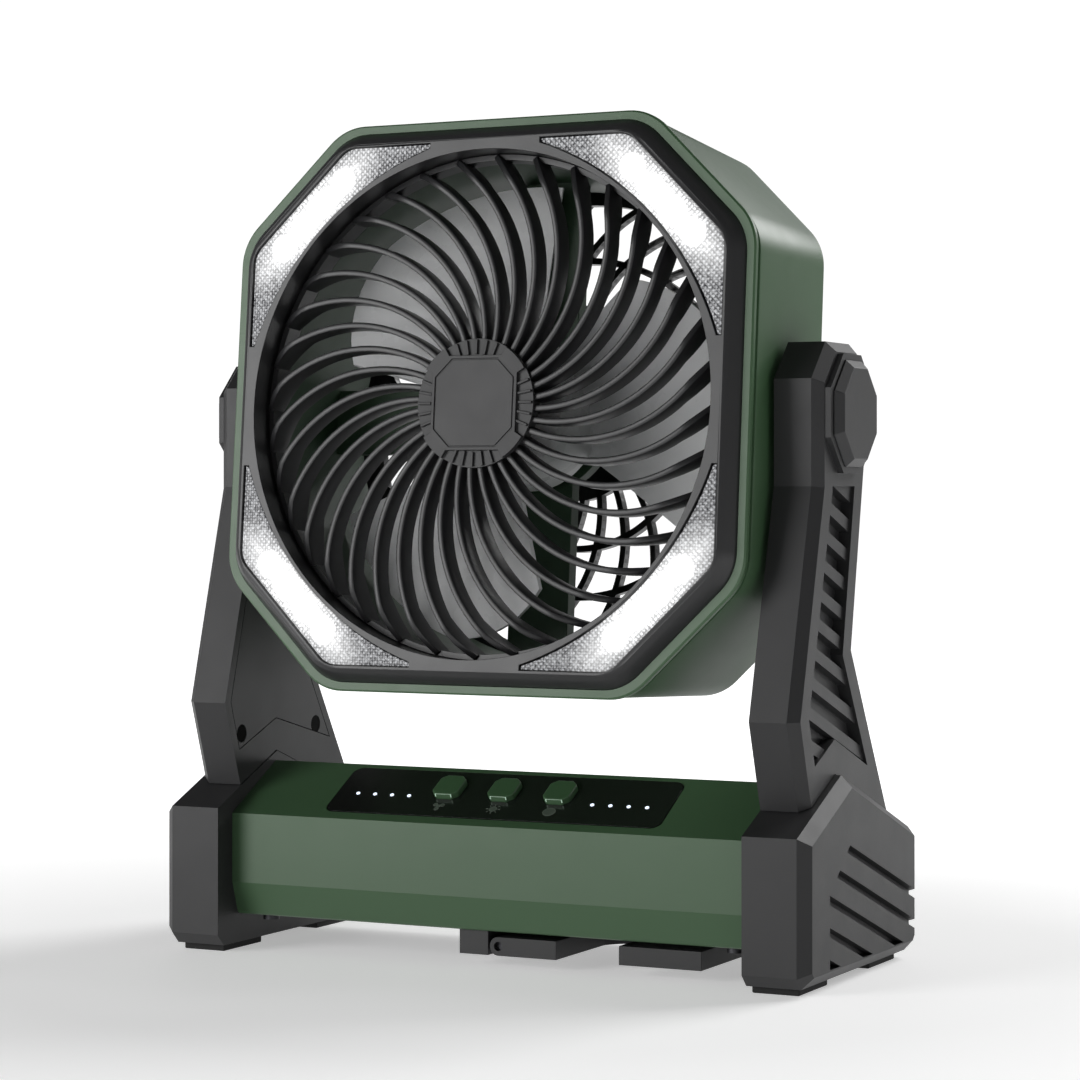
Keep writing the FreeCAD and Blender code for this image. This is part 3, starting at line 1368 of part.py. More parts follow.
shaft_nut = new_body("shaft_nut")
sketch = sketch_on(shaft_nut, "XY_Plane", size.rotor_hub_front)
outline(sketch, octagon(size.nut_radius, size.nut_radius * 0.5858))
circles(sketch, [(0, 0, shaft_hole)])
pad(shaft_nut, sketch, size.nut_thickness)
place_in_head(shaft_nut)
keep(shaft_nut)

# Rear guard
guard_front = -size.shell_rear
guard_back = guard_front - size.guard_depth
web_wall = size.guard_wall
rear_guard = new_body("rear_guard")
front = sketch_on(rear_guard, "XY_Plane", guard_front)
outline(front, rounded(octagon(size.guard_front_half, size.guard_front_corner), size.head_round))
rear = sketch_on(rear_guard, "XY_Plane", guard_back)
outline(rear, rounded(octagon(size.guard_back_half, size.guard_back_corner), size.head_round))
loft(rear_guard, [rear, front])
front = sketch_on(rear_guard, "XY_Plane", guard_front)
outline(front, rounded(octagon(size.guard_front_half - web_wall,
                               size.guard_front_corner - 0.5858 * web_wall),
                       size.head_round - web_wall))
rear = sketch_on(rear_guard, "XY_Plane", guard_back + web_wall)
outline(rear, rounded(octagon(size.guard_back_half - web_wall,
                              size.guard_back_corner - 0.5858 * web_wall),
                      size.head_round - web_wall))
loft(rear_guard, [rear, front], cut=True)
sketch = sketch_on(rear_guard, "XY_Plane", guard_back)
circles(sketch, [(0, 0, size.guard_opening)])
pocket(rear_guard, sketch, web_wall + 1, back=True)
vent_z = guard_back + size.guard_rib_depth + 1
vent_pitch = size.vent_length + size.vent_bar
for plane in ("XZ_Plane", "YZ_Plane"):
    sketch = sketch_on(rear_guard, plane, -size.guard_front_half - 5)
    for step in range(5):
        middle = vent_pitch * (step - 2)
        outline(sketch, box_corners(middle - size.vent_length / 2, vent_z,
                                    middle + size.vent_length / 2, vent_z + size.vent_height))
    pocket(rear_guard, sketch, size.guard_front_half * 2 + 10, back=True)
sketch = sketch_on(rear_guard, "XY_Plane", guard_back)
outline(sketch, bent_rib(size.guard_hub - 1, size.guard_opening + 1, size.rib_root_angle,
                         size.rib_tip_angle, size.rib_thickness, -1))
rib = pad(rear_guard, sketch, size.guard_rib_depth)
around(rear_guard, [rib], size.guard_rib_count)
sketch = sketch_on(rear_guard, "XY_Plane", guard_back)
circles(sketch, [(0, 0, size.guard_hub)])
pad(rear_guard, sketch, size.guard_rib_depth)
for middle in (size.guard_ring_one, size.guard_ring_two):
    sketch = sketch_on(rear_guard, "XY_Plane", guard_back)
    circles(sketch, [(0, 0, middle + size.rib_thickness / 2),
                     (0, 0, middle - size.rib_thickness / 2)])
    pad(rear_guard, sketch, size.guard_rib_depth)
sketch = turned_sketch(rear_guard, guard_back, 45)
circles(sketch, [(pillar_x, size.pillar_reach, size.pillar_radius)])
post = pad(rear_guard, sketch, -guard_back - frame_back)
around(rear_guard, [post], 4)
sketch = turned_sketch(rear_guard, guard_back, 45)
circles(sketch, [(pillar_x, size.pillar_reach, hole)])
bore = pocket(rear_guard, sketch, 14, back=True)
sketch = turned_sketch(rear_guard, guard_back, 45)
circles(sketch, [(pillar_x, size.pillar_reach, size.arm_screw_hole)])
sink = pocket(rear_guard, sketch, size.screw_head_height + 0.4, back=True)
around(rear_guard, [bore, sink], 4)
place_in_head(rear_guard)
keep(rear_guard)
head_screws("guard_screws", guard_back + size.screw_head_height + 0.4, 26, False)


# Control panel, buttons and lights
def place_on_slope(thing, up=0, across=0):
    """Puts a piece on the bar's slope: x along the bar, y up the slope, z out of it."""
    slope = size.bar_slope
    place(thing, x=across, y=up * cosine(slope) - size.bar_half_depth,
          z=up * sine(slope) + size.bar_front_height, angle=slope)


button_names = ["button_fan", "button_light", "button_timer"]
button_spots = [size.button_pitch * step for step in (-1, 0, 1)]
lamp_spots = [(side * (size.lamp_first + size.lamp_pitch * step), size.lamp_row)
              for side in (-1, 1) for step in range(4)]


def button_outline(grow, across=0, along=0):
    return moved(octagon(size.button_half + grow, size.button_corner + 0.5858 * grow,
                         size.button_half_length + grow), across, along)


control_panel = new_body("control_panel")
sketch = sketch_on(control_panel, "XY_Plane", -size.panel_sink)
outline(sketch, rounded(box_corners(-size.panel_half, panel_low, size.panel_half, panel_high),
                        size.panel_corner, 90))
pad(control_panel, sketch, size.panel_sink + size.panel_proud)
sketch = sketch_on(control_panel, "XY_Plane", size.panel_proud)
for spot in button_spots:
    outline(sketch, button_outline(size.button_gap, spot, size.button_centre))
circles(sketch, [spot + (size.lamp_radius + size.journal_clearance,) for spot in lamp_spots])
pocket(control_panel, sketch, size.panel_sink + size.panel_proud + 1)
place_on_slope(control_panel)
keep(control_panel)

control_board = new_body("control_board")
sketch = sketch_on(control_board, "XY_Plane", -board_top - size.board_thickness)
outline(sketch, box_corners(-size.control_board_half, board_low_y,
                            size.control_board_half, board_high_y))
pad(control_board, sketch, size.board_thickness)
place_on_slope(control_board)
keep(control_board)

tact_switches = new_body("tact_switches")
sketch = sketch_on(tact_switches, "XY_Plane", -board_top)
for spot in button_spots:
    outline(sketch, moved(box_corners(-size.switch_half, -size.switch_half, size.switch_half,
                                      size.switch_half), spot, size.button_centre))
pad(tact_switches, sketch, size.switch_height)
place_on_slope(tact_switches)
keep(tact_switches)

indicator_lights = new_body("indicator_lights")
sketch = sketch_on(indicator_lights, "XY_Plane", -board_top)
circles(sketch, [spot + (size.lamp_radius,) for spot in lamp_spots])
pad(indicator_lights, sketch, board_top + size.panel_proud + 0.2)
place_on_slope(indicator_lights)
keep(indicator_lights)

flange_top = -size.panel_sink - size.seat_gap
for name, spot in zip(button_names, button_spots):
    button = new_body(name)
    sketch = sketch_on(button, "XY_Plane", flange_top - size.button_flange)
    outline(sketch, button_outline(size.button_flange))
    pad(button, sketch, size.button_flange)
    sketch = sketch_on(button, "XY_Plane", flange_top)
    outline(sketch, button_outline(0))
    pad(button, sketch, size.panel_proud + size.button_proud - flange_top)
    place_on_slope(button, size.button_centre, spot)
    keep(button)

# Hanging hook under the base
hook_right = size.hook_inner_leg + size.hook_throat + size.hook_outer_leg
hook_half = size.hook_half_length
hook_mid_z = size.hook_low + size.hook_thickness / 2
hook_top = size.hook_low + size.hook_thickness
throat_left = size.hook_inner_leg
throat_right = size.hook_inner_leg + size.hook_throat
throat_curve = size.hook_throat / 2 + 0.6
throat_start = size.hook_throat_end - 9

hanging_hook = new_body("hanging_hook")
sketch = sketch_on(hanging_hook, "XY_Plane", size.hook_low)
outline(sketch, [(0, -hook_half), (throat_left, -hook_half),
                 (throat_left, throat_start, -throat_curve), (throat_right, throat_start),
                 (throat_right, -hook_half), (hook_right, -hook_half),
                 (hook_right, hook_half - size.hook_corner, size.hook_corner),
                 (hook_right - size.hook_corner, hook_half), (0, hook_half)])
pad(hanging_hook, sketch, size.hook_thickness)
dress(hanging_hook, "Fillet", size.hook_pin_setback - 0.1, lambda edge: all(
    at(v.X, 0) for v in edge.Vertexes) and edge.BoundBox.YLength > 50)
sketch = sketch_on(hanging_hook, "XY_Plane", size.hook_low)
notch = size.knuckle_length + size.seat_gap
outline(sketch, box_corners(-1, -notch, size.hook_pin_setback * 2 + 0.6, notch))
pocket(hanging_hook, sketch, size.hook_thickness, back=True)
sketch = sketch_on(hanging_hook, "XZ_Plane", hook_half)
circles(sketch, [(size.hook_pin_setback, hook_mid_z, hole)])
pocket(hanging_hook, sketch, hook_half * 2)
keep(hanging_hook)

hook_bracket = new_body("hook_bracket")
sketch = sketch_on(hook_bracket, "XY_Plane", size.hook_low)
outline(sketch, box_corners(-0.6, -size.knuckle_length, size.hook_pin_setback * 2, size.knuckle_length))
pad(hook_bracket, sketch, size.hook_thickness)
dress(hook_bracket, "Fillet", size.hook_pin_setback - 0.1, lambda edge: all(
    at(v.X, size.hook_pin_setback * 2) for v in edge.Vertexes) and edge.BoundBox.YLength > 5)
sketch = sketch_on(hook_bracket, "XY_Plane", size.hook_low)
outline(sketch, box_corners(-size.bracket_width, -hook_half, -0.6, hook_half))
pad(hook_bracket, sketch, size.bar_bottom - size.hook_low)
sketch = sketch_on(hook_bracket, "XZ_Plane", hook_half)
circles(sketch, [(size.hook_pin_setback, hook_mid_z, hole)])
pocket(hook_bracket, sketch, hook_half * 2)
sketch = sketch_on(hook_bracket, "XY_Plane", size.bar_bottom)
circles(sketch, [(bracket_screw_x, y, hole) for y in (-bracket_screw_y, bracket_screw_y)])
pocket(hook_bracket, sketch, 6)
keep(hook_bracket)

hook_pin = new_body("hook_pin")
sketch = sketch_on(hook_pin, "XZ_Plane", 2 - hook_half)
circles(sketch, [(size.hook_pin_setback, hook_mid_z, size.hook_pin)])
pad(hook_pin, sketch, hook_half * 2 - 4)
keep(hook_pin)
screws("bracket_screws", "XY_Plane", [(bracket_screw_x, -bracket_screw_y),
                                      (bracket_screw_x, bracket_screw_y)],
       size.bar_bottom + size.floor_plate, size.floor_plate + 5, flip=True)

# Check and write
doc.recompute()
for label, thing in nodes.items():
    if set(thing.State) & {"Invalid", "Error"}:
        raise ValueError(label + " did not build")
    if thing.Shape.isNull() or not thing.Shape.isValid():
        raise ValueError(label + " has no sound shape")
os.makedirs("parts", exist_ok=True)
for label, thing in nodes.items():
    thing.Shape.exportStep("parts/%s.step" % label)
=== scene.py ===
# %% [markdown]
# # A portable camping fan
#
# The object is a fan head with an octagonal green shell, tilting between two charcoal
# arms on a battery base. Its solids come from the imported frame, so every piece already
# has its place in metres. This notebook gives them rounded edges, smooth curves where
# the frame's facets would show, and finishes.

# %% Load the frame
import json
import math

import bmesh
import bpy
from mathutils import Matrix, Vector


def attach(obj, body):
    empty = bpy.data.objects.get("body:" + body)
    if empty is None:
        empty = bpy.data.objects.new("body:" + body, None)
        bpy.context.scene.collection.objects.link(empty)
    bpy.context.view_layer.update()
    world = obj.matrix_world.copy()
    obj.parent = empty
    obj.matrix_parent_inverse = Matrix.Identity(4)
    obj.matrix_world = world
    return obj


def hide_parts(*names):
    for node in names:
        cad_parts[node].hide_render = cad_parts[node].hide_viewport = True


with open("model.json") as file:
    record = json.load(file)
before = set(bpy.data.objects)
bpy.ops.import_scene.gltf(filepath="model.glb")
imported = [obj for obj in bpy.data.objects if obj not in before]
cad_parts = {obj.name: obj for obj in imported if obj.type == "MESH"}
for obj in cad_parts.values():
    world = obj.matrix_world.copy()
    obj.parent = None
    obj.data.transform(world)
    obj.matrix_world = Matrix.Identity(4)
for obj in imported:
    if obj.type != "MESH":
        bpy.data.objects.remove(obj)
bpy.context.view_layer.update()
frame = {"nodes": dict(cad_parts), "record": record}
nodes = frame["nodes"]
body_of = {name: body for body, names in frame["record"]["behaviour"]["bodies"].items()
           for name in names}
print("nodes:", len(nodes))

# %% [markdown]
# ## Camera
#
# The photograph was taken from the right of the fan, level with its middle, through a
# long lens. A level camera keeps uprights upright, and a small shift frames the object
# as in the photograph.

# %% Camera
view_turn = math.radians(26.57)
view_distance = 1.1065
view_height = 0.16635
camera_data = bpy.data.cameras.new("camera")
camera_data.lens = 101.9
camera_data.sensor_width = 36
camera_data.shift_x = 0.0042
camera_data.shift_y = -0.0427
camera = bpy.data.objects.new("camera", camera_data)
camera.location = (view_distance * math.sin(view_turn), -view_distance * math.cos(view_turn), view_height)
camera.rotation_euler = (math.pi / 2, 0, view_turn)
bpy.context.scene.collection.objects.link(camera)
bpy.context.scene.camera = camera
bpy.context.scene.view_settings.view_transform = "Standard"
print("camera at:", [round(part, 3) for part in camera.location])

# %% [markdown]
# ## Lamps
#
# Two large soft lamps give the long gentle highlights of a product picture. The first
# stands in front on the left, and the other shines down from behind on the right. They
# are area lamps, because a broad source leaves soft edges on shadows and highlights.

# %% Lamps
def soft_lamp(name, place, aim, size, power):
    """A square lamp that faces a point. Lengths are in metres and power is in watts."""
    data = bpy.data.lights.new(name, "AREA")
    data.size = size
    data.energy = power
    lamp = bpy.data.objects.new(name, data)
    lamp.location = place
    lamp.rotation_euler = (Vector(aim) - Vector(place)).to_track_quat("-Z", "Y").to_euler()
    bpy.context.scene.collection.objects.link(lamp)
    return lamp


fan_middle = (0, 0, 0.16)
lamp_size = 0.9
lamps = [soft_lamp("key", (-0.95, -1.5, 0.45), fan_middle, lamp_size, 17),
         soft_lamp("back", (0.8, 1.3, 1.15), fan_middle, lamp_size, 21)]
print("lamps:", len(lamps))

# %% [markdown]
# ## Shader arithmetic
#
# Procedural finishes are easier to read as sums and products. `Value` wraps one socket
# and turns Python's operators into Math nodes, and `Finish.node` makes any other node.

# %% Shader values
class Value:
    """One socket of a node, on which Python's operators add Math nodes."""

    def __init__(self, finish, socket):
        self.finish = finish
        self.socket = socket

    def math(self, operation, first, second=None):
        sockets = [first] if second is None else [first, second]
        return self.finish.node("ShaderNodeMath", {"operation": operation}, dict(enumerate(sockets)))

    def __add__(self, other):
        return self.math("ADD", self, other)

    def __radd__(self, other):
        return self.math("ADD", other, self)

    def __sub__(self, other):
        return self.math("SUBTRACT", self, other)

    def __rsub__(self, other):
        return self.math("SUBTRACT", other, self)

    def __mul__(self, other):
        return self.math("MULTIPLY", self, other)

    def __rmul__(self, other):
        return self.math("MULTIPLY", other, self)

    def __truediv__(self, other):
        return self.math("DIVIDE", self, other)

    def __rtruediv__(self, other):
        return self.math("DIVIDE", other, self)

    def __mod__(self, other):
        return self.math("FLOORED_MODULO", self, other)

    def __pow__(self, other):
        return self.math("POWER", self, other)

    def __abs__(self):
        return self.math("ABSOLUTE", self)

    def below(self, other):
        return self.math("LESS_THAN", self, other)

    def clamped(self):
        return self.math("MINIMUM", self.math("MAXIMUM", self, 0.0), 1.0)


# %% Finishes
black = (0.0, 0.0, 0.0)
white = (1.0, 1.0, 1.0)
mix_factor, mix_first, mix_second, mix_result = 0, 6, 7, 2


class Finish:
    """A material whose shader takes numbers, colours or values."""

    def __init__(self, name, **shader):
        self.material = bpy.data.materials.new(name)
        self.material.use_nodes = True
        self.tree = self.material.node_tree
        self.shader = self.tree.nodes["Principled BSDF"]
        for key, value in shader.items():
            self.give(key.replace("_", " ").title().replace("Ior", "IOR"), value)

    def give(self, name, value):
        socket = self.shader.inputs[name]
        if isinstance(value, Value):
            self.tree.links.new(value.socket, socket)
        elif isinstance(value, tuple) and len(value) == 3:
            socket.default_value = (*value, 1)
        else:
            socket.default_value = value

    def node(self, kind, settings, sockets, output=0):
        made = self.tree.nodes.new(kind)
        for key, value in settings.items():
            setattr(made, key, value)
        for key, value in sockets.items():
            if isinstance(value, Value):
                self.tree.links.new(value.socket, made.inputs[key])
            else:
                made.inputs[key].default_value = value
        return Value(self, made.outputs[output])

    def place(self):
        return self.node("ShaderNodeTexCoord", {}, {}, "Object")

    def noise(self, scale, detail=3.0, where=None):
        return self.node("ShaderNodeTexNoise", {}, {
            "Vector": where or self.place(), "Scale": scale, "Detail": detail}, "Fac")

    def blend(self, amount, first, second):
        """A colour between two, by an amount from 0 to 1."""
        colours = {mix_factor: amount}
        for key, colour in ((mix_first, first), (mix_second, second)):
            colours[key] = colour if isinstance(colour, Value) else (*colour, 1)
        return self.node("ShaderNodeMix", {"data_type": "RGBA"}, colours, mix_result)

    def bump(self, height, strength, distance):
        return self.node("ShaderNodeBump", {}, {
            "Height": height, "Strength": strength, "Distance": distance}, "Normal")

    def axis(self, vector, name):
        return self.node("ShaderNodeSeparateXYZ", {}, {0: vector}, name)


class Sky(Finish):
    """The scene's world, whose Background shader is used as a finish is."""

    def __init__(self, name):
        world = bpy.data.worlds.new(name)
        world.use_nodes = True
        bpy.context.scene.world = world
        self.tree = world.node_tree
        self.shader = self.tree.nodes["Background"]


print("shader helpers made")

# %% [markdown]
# ## Sky
#
# The sky is a dim grey room with one wide bright wall behind the object. The wall gives
# the white background and a thin rim of light, while the rest stays dim enough for the
# dark plastics to keep their depth. Its brightness is set by the direction of view: how
# far it points ahead of the camera, and how far it points up.

# %% Sky
wall_edge, wall_fade = 0.88, 0.08
ceiling_edge, ceiling_fade = 0.25, 0.3
room_light, ceiling_loss, wall_gain = 0.2, 0.13, 0.85
sky = Sky("sky")
towards = sky.node("ShaderNodeTexCoord", {}, {}, "Generated")
ahead = sky.axis(towards, "Y") * math.cos(view_turn) - sky.axis(towards, "X") * math.sin(view_turn)
wall = ((ahead - wall_edge) / wall_fade).clamped()
overhead = ((sky.axis(towards, "Z") - ceiling_edge) / ceiling_fade).clamped()
sky.give("Color", white)
sky.give("Strength", room_light - overhead * ceiling_loss + wall * wall_gain)
print("sky nodes:", len(sky.tree.nodes))

# %% [markdown]
# ## Moulded plastic
#
# Nearly all of the fan is injection-moulded plastic. Its surface is a fine spark-eroded
# texture, so the recipe is one: a base colour that drifts a little, a roughness that
# drifts too, and a very fine bump. Only the numbers differ between the green housing,
# the charcoal arms and the dark bezel.

# %% Moulded plastic
cloud_scale = 14.0
wear_scale = 90.0
grain_scale = 2600.0
grain_depth = 0.00008


def moulded(name, colour, rough, grain=0.25, drift=0.12, coat=0.0, shine=0.4):
    finish = Finish(name, coat_weight=coat, coat_roughness=0.25, specular_ior_level=shine)
    clouds = finish.noise(cloud_scale, 3.0)
    worn = finish.noise(wear_scale, 4.0)
    light = tuple(min(1, part * (1 + drift)) for part in colour)
    dark = tuple(part * (1 - drift) for part in colour)
    finish.give("Base Color", finish.blend(clouds, dark, light))
    finish.give("Roughness", rough - 0.05 + worn * 0.1)
    finish.give("Normal", finish.bump(finish.noise(grain_scale, 2.0), grain, grain_depth))
    return finish.material


green = moulded("green_shell", (0.046, 0.096, 0.045), 0.4, 0.15, 0.05, shine=0.45)
# The frame is the shell's green darkened as painted shade, for the shade inside the head.
green_painted_shade = moulded("green_frame_painted_shade", (0.018, 0.045, 0.020), 0.5)
charcoal = moulded("charcoal_arms", (0.021, 0.021, 0.022), 0.48)
bezel_black = moulded("bezel_black", (0.022, 0.022, 0.023), 0.33, 0.1, 0.05)
grille_black = moulded("grille_black", (0.016, 0.016, 0.017), 0.34, 0.1)
# The blades' own pale grey is raised further as painted light, to make up for the shade inside the head.
blade_grey_painted_light = moulded("blade_grey_painted_light", (0.75, 0.755, 0.76), 0.28, 0.1, 0.05)
panel_black = moulded("panel_gloss", (0.008, 0.009, 0.008), 0.2, 0.04, 0.05, 0.4)
button_green = moulded("button_green", (0.045, 0.10, 0.045), 0.4, 0.2, 0.05)
rubber = moulded("rubber_feet", (0.012, 0.012, 0.012), 0.8, 0.6)
board_white = moulded("board_white", (0.8, 0.8, 0.78), 0.4, 0.1)
cell_blue = moulded("cell_wrap", (0.05, 0.16, 0.30), 0.35, 0.05)
# Near-black painted shade, for the arm screws deep in their holes.
screw_painted_shade_black = moulded("screw_painted_shade_black", (0.003, 0.003, 0.003), 0.9, shine=0.1)
print("plastics made")

# %% [markdown]
# ## Steel
#
# The charge port and most small metal pieces are bare steel, and the screws on show are
# blackened. On both, only the roughness drifts, because a metal's colour stays even.

# %% Steel
def rolled_steel(name, colour, rough):
    finish = Finish(name, metallic=1.0, base_color=colour)
    finish.give("Roughness", rough + finish.noise(220.0, 3.0) * 0.14)
    return finish.material


steel = rolled_steel("steel", (0.55, 0.55, 0.56), 0.28)
dark_steel = rolled_steel("dark_steel", (0.06, 0.06, 0.065), 0.4)
print("steel made")

# %% [markdown]
# ## Lamp lens
#
# Behind each corner window sit four bright chips under a clear cover with a fine
# pyramid pattern. The pattern is worked out in the head's own axes, which a Mapping node
# finds by undoing the head's tilt. The glow is brightest over each chip and fades out
# towards the window's long tails, where only the pattern is seen. What changes is the
# emission's colour, from black to white, while its strength stays one number. In the
# head's axes the windows lie on the diagonals, so `outward` runs along a diagonal from
# the axis, and `along` runs across it.

# %% Lamp lens
pivot = Vector((0, 0, 0.1939))
tilt = math.radians(85)
head_place = Matrix.Translation(pivot) @ Matrix.Rotation(tilt, 4, "X") @ Matrix.Scale(0.001, 4)


def head_axes(finish):
    """Object coordinates in millimetres in the head's axes."""
    back = Matrix.Rotation(-tilt, 4, "X")
    shift = back @ (-pivot * 1000)
    return finish.node("ShaderNodeMapping", {"vector_type": "POINT"}, {
        "Vector": finish.place(), "Location": shift, "Rotation": (-tilt, 0, 0),
        "Scale": (1000, 1000, 1000)})


chip_line, chip_pitch, chip_row_half, chip_spread = 97.3, 11.0, 22.0, 30.0
band_line, band_half = 97.0, 9.0
tail_start, tail_fade = 1.25, 30.0
cell_size, cell_contrast = 2.0, 1.3
speckle_scale, speckle_contrast = 0.9, 2.0
diagonal = 0.7071
chip_glow, band_glow, pattern_glow = 0.8, 0.85, 0.4
lamp_strength = 1.6

lens = Finish("lamp_lens", roughness=0.12, ior=1.5)
spot = head_axes(lens)
across = lens.axis(spot, "X")
upward = lens.axis(spot, "Y")
outward = (abs(across) + abs(upward)) * diagonal
along = (abs(across) - abs(upward)) * diagonal
chip = (along + chip_row_half) % chip_pitch - chip_pitch / 2
off_line = outward - chip_line
spots = (1.0 - (chip ** 2.0 + off_line * off_line) / chip_spread).clamped()
spots = spots * abs(along).below(chip_row_half)
tail = (tail_start - abs(along) / tail_fade).clamped()
band = (1.0 - abs(outward - band_line) / band_half).clamped() * tail
cells = abs((across + upward) % cell_size - 1.0) * abs((across - upward) % cell_size - 1.0)
speckle = lens.noise(speckle_scale, 2.0, spot)
sparkle = (cells * cell_contrast + (speckle - 0.5) * speckle_contrast).clamped()
glow = spots * chip_glow + band * band_glow + tail * tail * sparkle * pattern_glow
brightest = chip_glow + band_glow + pattern_glow
# The base colour runs from dark to pale with the sparkle: painted glints on the pyramid pattern.
lens.give("Base Color", lens.blend(sparkle, (0.05, 0.05, 0.055), (0.65, 0.66, 0.68)))
lens.give("Emission Color", lens.blend(glow / brightest, black, white))
lens.give("Emission Strength", lamp_strength * brightest)
lens.give("Normal", lens.bump(cells, 0.6, 0.0004))
lamp_lens = lens.material
print("lens nodes:", len(lens.tree.nodes))

# %% [markdown]
# ## Lights and printed marks
#
# The chips and the small lights are pale plastic that glows by itself. The printed marks
# glow faintly as painted light, so that they stay readable on the black panel, and the
# strips at the buttons glow faintly as painted highlights.

# %% Lights and printed marks
def glowing(name, colour, strength):
    finish = Finish(name, base_color=colour, emission_color=colour, emission_strength=strength)
    finish.give("Roughness", 0.25 + finish.noise(400.0, 2.0) * 0.1)
    return finish.material


light_white = glowing("light_white", (0.75, 0.85, 1.0), 1.2)
# The print is real, and its faint glow is painted light.
icon_grey_painted_glow = glowing("icon_print_painted_glow", (0.08, 0.10, 0.08), 0.15)
# The strips' glow is a painted highlight along each button's edge.
stripe_green = glowing("stripe_green", (0.55, 0.75, 0.6), 0.25)
print("lights and prints made")

# %% [markdown]
# ## Keeping a CAD piece, with rounded edges
#
# Flat-faced pieces are right as they are, but a moulded edge is never knife-sharp: it
# catches a thin line of light. `eased` copies a node's mesh, welds its loose triangles,
# melts the flat ones together and rounds what is left with a Bevel modifier.

# %% Rounded copies
same_plane = math.radians(0.6)
copy_edge_angle = 24


def dressed(piece, material, body, *replaced):
    """Give a piece its material and its body, and hide the nodes that it replaces."""
    piece.data.materials.clear()
    piece.data.materials.append(material)
    if piece.name not in bpy.context.scene.collection.objects:
        bpy.context.scene.collection.objects.link(piece)
    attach(piece, body)
    if replaced:
        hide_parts(*replaced)
    return piece


def eased_edges(piece, width, segments=2, angle=30):
    """Round the edges sharper than an angle, by a width in millimetres."""
    bevel = piece.modifiers.new("ease", "BEVEL")
    bevel.width = width / 1000
    bevel.segments = segments
    bevel.limit_method = "ANGLE"
    bevel.angle_limit = math.radians(angle)
    bevel.harden_normals = True
    return bevel


def eased(name, material, width=0.6, segments=2, sharp=5):
    mesh = nodes[name].data.copy()
    bm = bmesh.new()
    bm.from_mesh(mesh)
    bmesh.ops.remove_doubles(bm, verts=bm.verts, dist=1e-6)
    bmesh.ops.dissolve_limit(bm, angle_limit=same_plane, verts=bm.verts, edges=bm.edges)
    bm.to_mesh(mesh)
    bm.free()
    mesh.shade_smooth()
    mesh.set_sharp_from_angle(angle=math.radians(sharp))
    piece = bpy.data.objects.new(name + "_moulded", mesh)
    dressed(piece, material, body_of[name], name)
    bevel = eased_edges(piece, width, segments, copy_edge_angle)
    bevel.miter_outer = "MITER_ARC"
    return piece


for side in ("left", "right"):
    eased("arm_" + side, charcoal, 0.5)
    eased("end_cap_" + side, charcoal, 0.6)
    eased("pivot_cap_" + side, charcoal, 0.5)
    eased("arm_cover_" + side, charcoal, 0.3)
eased("base_shell", green, 0.6)
eased("control_panel", panel_black, 0.15)
for name in ("button_fan", "button_light", "button_timer"):
    eased(name, button_green, 0.5, 3)
eased("hanging_hook", charcoal, 0.5, sharp=24)
eased("hook_bracket", charcoal, 0.4, sharp=24)
eased("base_floor", charcoal, 0.3)
eased("foot_pads", rubber, 0.5)

# %% [markdown]
# ## Outlines in the head
#
# The head is drawn in its own axes in millimetres, z coming out of the grille, and one
# matrix tilts it into place. Its outline is an octagon with soft corners; a loop of
# points at each depth, bridged to the next, gives the moulded walls.

# %% Outlines
def softened(corners, steps=8):
    """A loop of points round corners given as (x, y, radius), counter-clockwise."""
    points = []
    for index, (x, y, radius) in enumerate(corners):
        here = Vector((x, y))
        back = (Vector(corners[index - 1][:2]) - here).normalized()
        ahead = (Vector(corners[(index + 1) % len(corners)][:2]) - here).normalized()
        if radius == 0:
            points.append(here)
            continue
        half_angle = back.angle(ahead) / 2
        centre = here + (back + ahead).normalized() * (radius / math.sin(half_angle))
        start = here + back * (radius / math.tan(half_angle)) - centre
        for step in range(steps + 1):
            turn = Matrix.Rotation((math.pi - 2 * half_angle) * step / steps, 2)
            points.append(centre + turn @ start)
    return points


def soft_octagon(half, leg, radius, steps=8):
    """An octagon from half its width, the leg cut off each corner and a corner radius."""
    flat = half - leg
    return softened([(x, y, radius) for x, y in (
        (half, -flat), (half, flat), (flat, half), (-flat, half),
        (-half, flat), (-half, -flat), (-flat, -half), (flat, -half))], steps)


def circle_points(radius, count=144):
    return [(radius * math.cos(math.tau * i / count), radius * math.sin(math.tau * i / count))
            for i in range(count)]


print("octagon points:", len(soft_octagon(100, 40, 20)))

# %% [markdown]
# ## Solids from outlines
#
# An outline becomes a wall by bridging, a prism by extruding, and a hole by cutting. A
# box and a disc come ready-made. All of them are drawn in the head's millimetres, and
# `built` moves the mesh to its place, so that the object itself stays at the origin.

# %% Solids
def bridged(bm, rings, close=False):
    """Walls between rings of points given as (points, depth)."""
    loops = []
    for points, depth in rings:
        verts = [bm.verts.new((p[0], p[1], depth)) for p in points]
        loops.append([bm.edges.new((verts[i - 1], verts[i])) for i in range(len(verts))])
    pairs = list(zip(loops, loops[1:])) + ([(loops[-1], loops[0])] if close else [])
    for first, second in pairs:
        bmesh.ops.bridge_loops(bm, edges=first + second)
    return loops


def ring_wall(bm, inner, outer, low, high, count=144):
    bridged(bm, [(circle_points(outer, count), low), (circle_points(outer, count), high),
                 (circle_points(inner, count), high), (circle_points(inner, count), low)], close=True)


def disc(bm, radius, thickness, middle):
    bmesh.ops.create_cone(bm, cap_ends=True, segments=96, radius1=radius, radius2=radius,
                          depth=thickness, matrix=Matrix.Translation((0, 0, middle)))


def block(bm, place, size, turn=0):
    """A box at a place, turned round the head's axis by degrees."""
    bmesh.ops.create_cube(bm, size=1, matrix=Matrix.Rotation(math.radians(turn), 4, "Z")
                          @ Matrix.Translation(place) @ Matrix.Diagonal((*size, 1)))


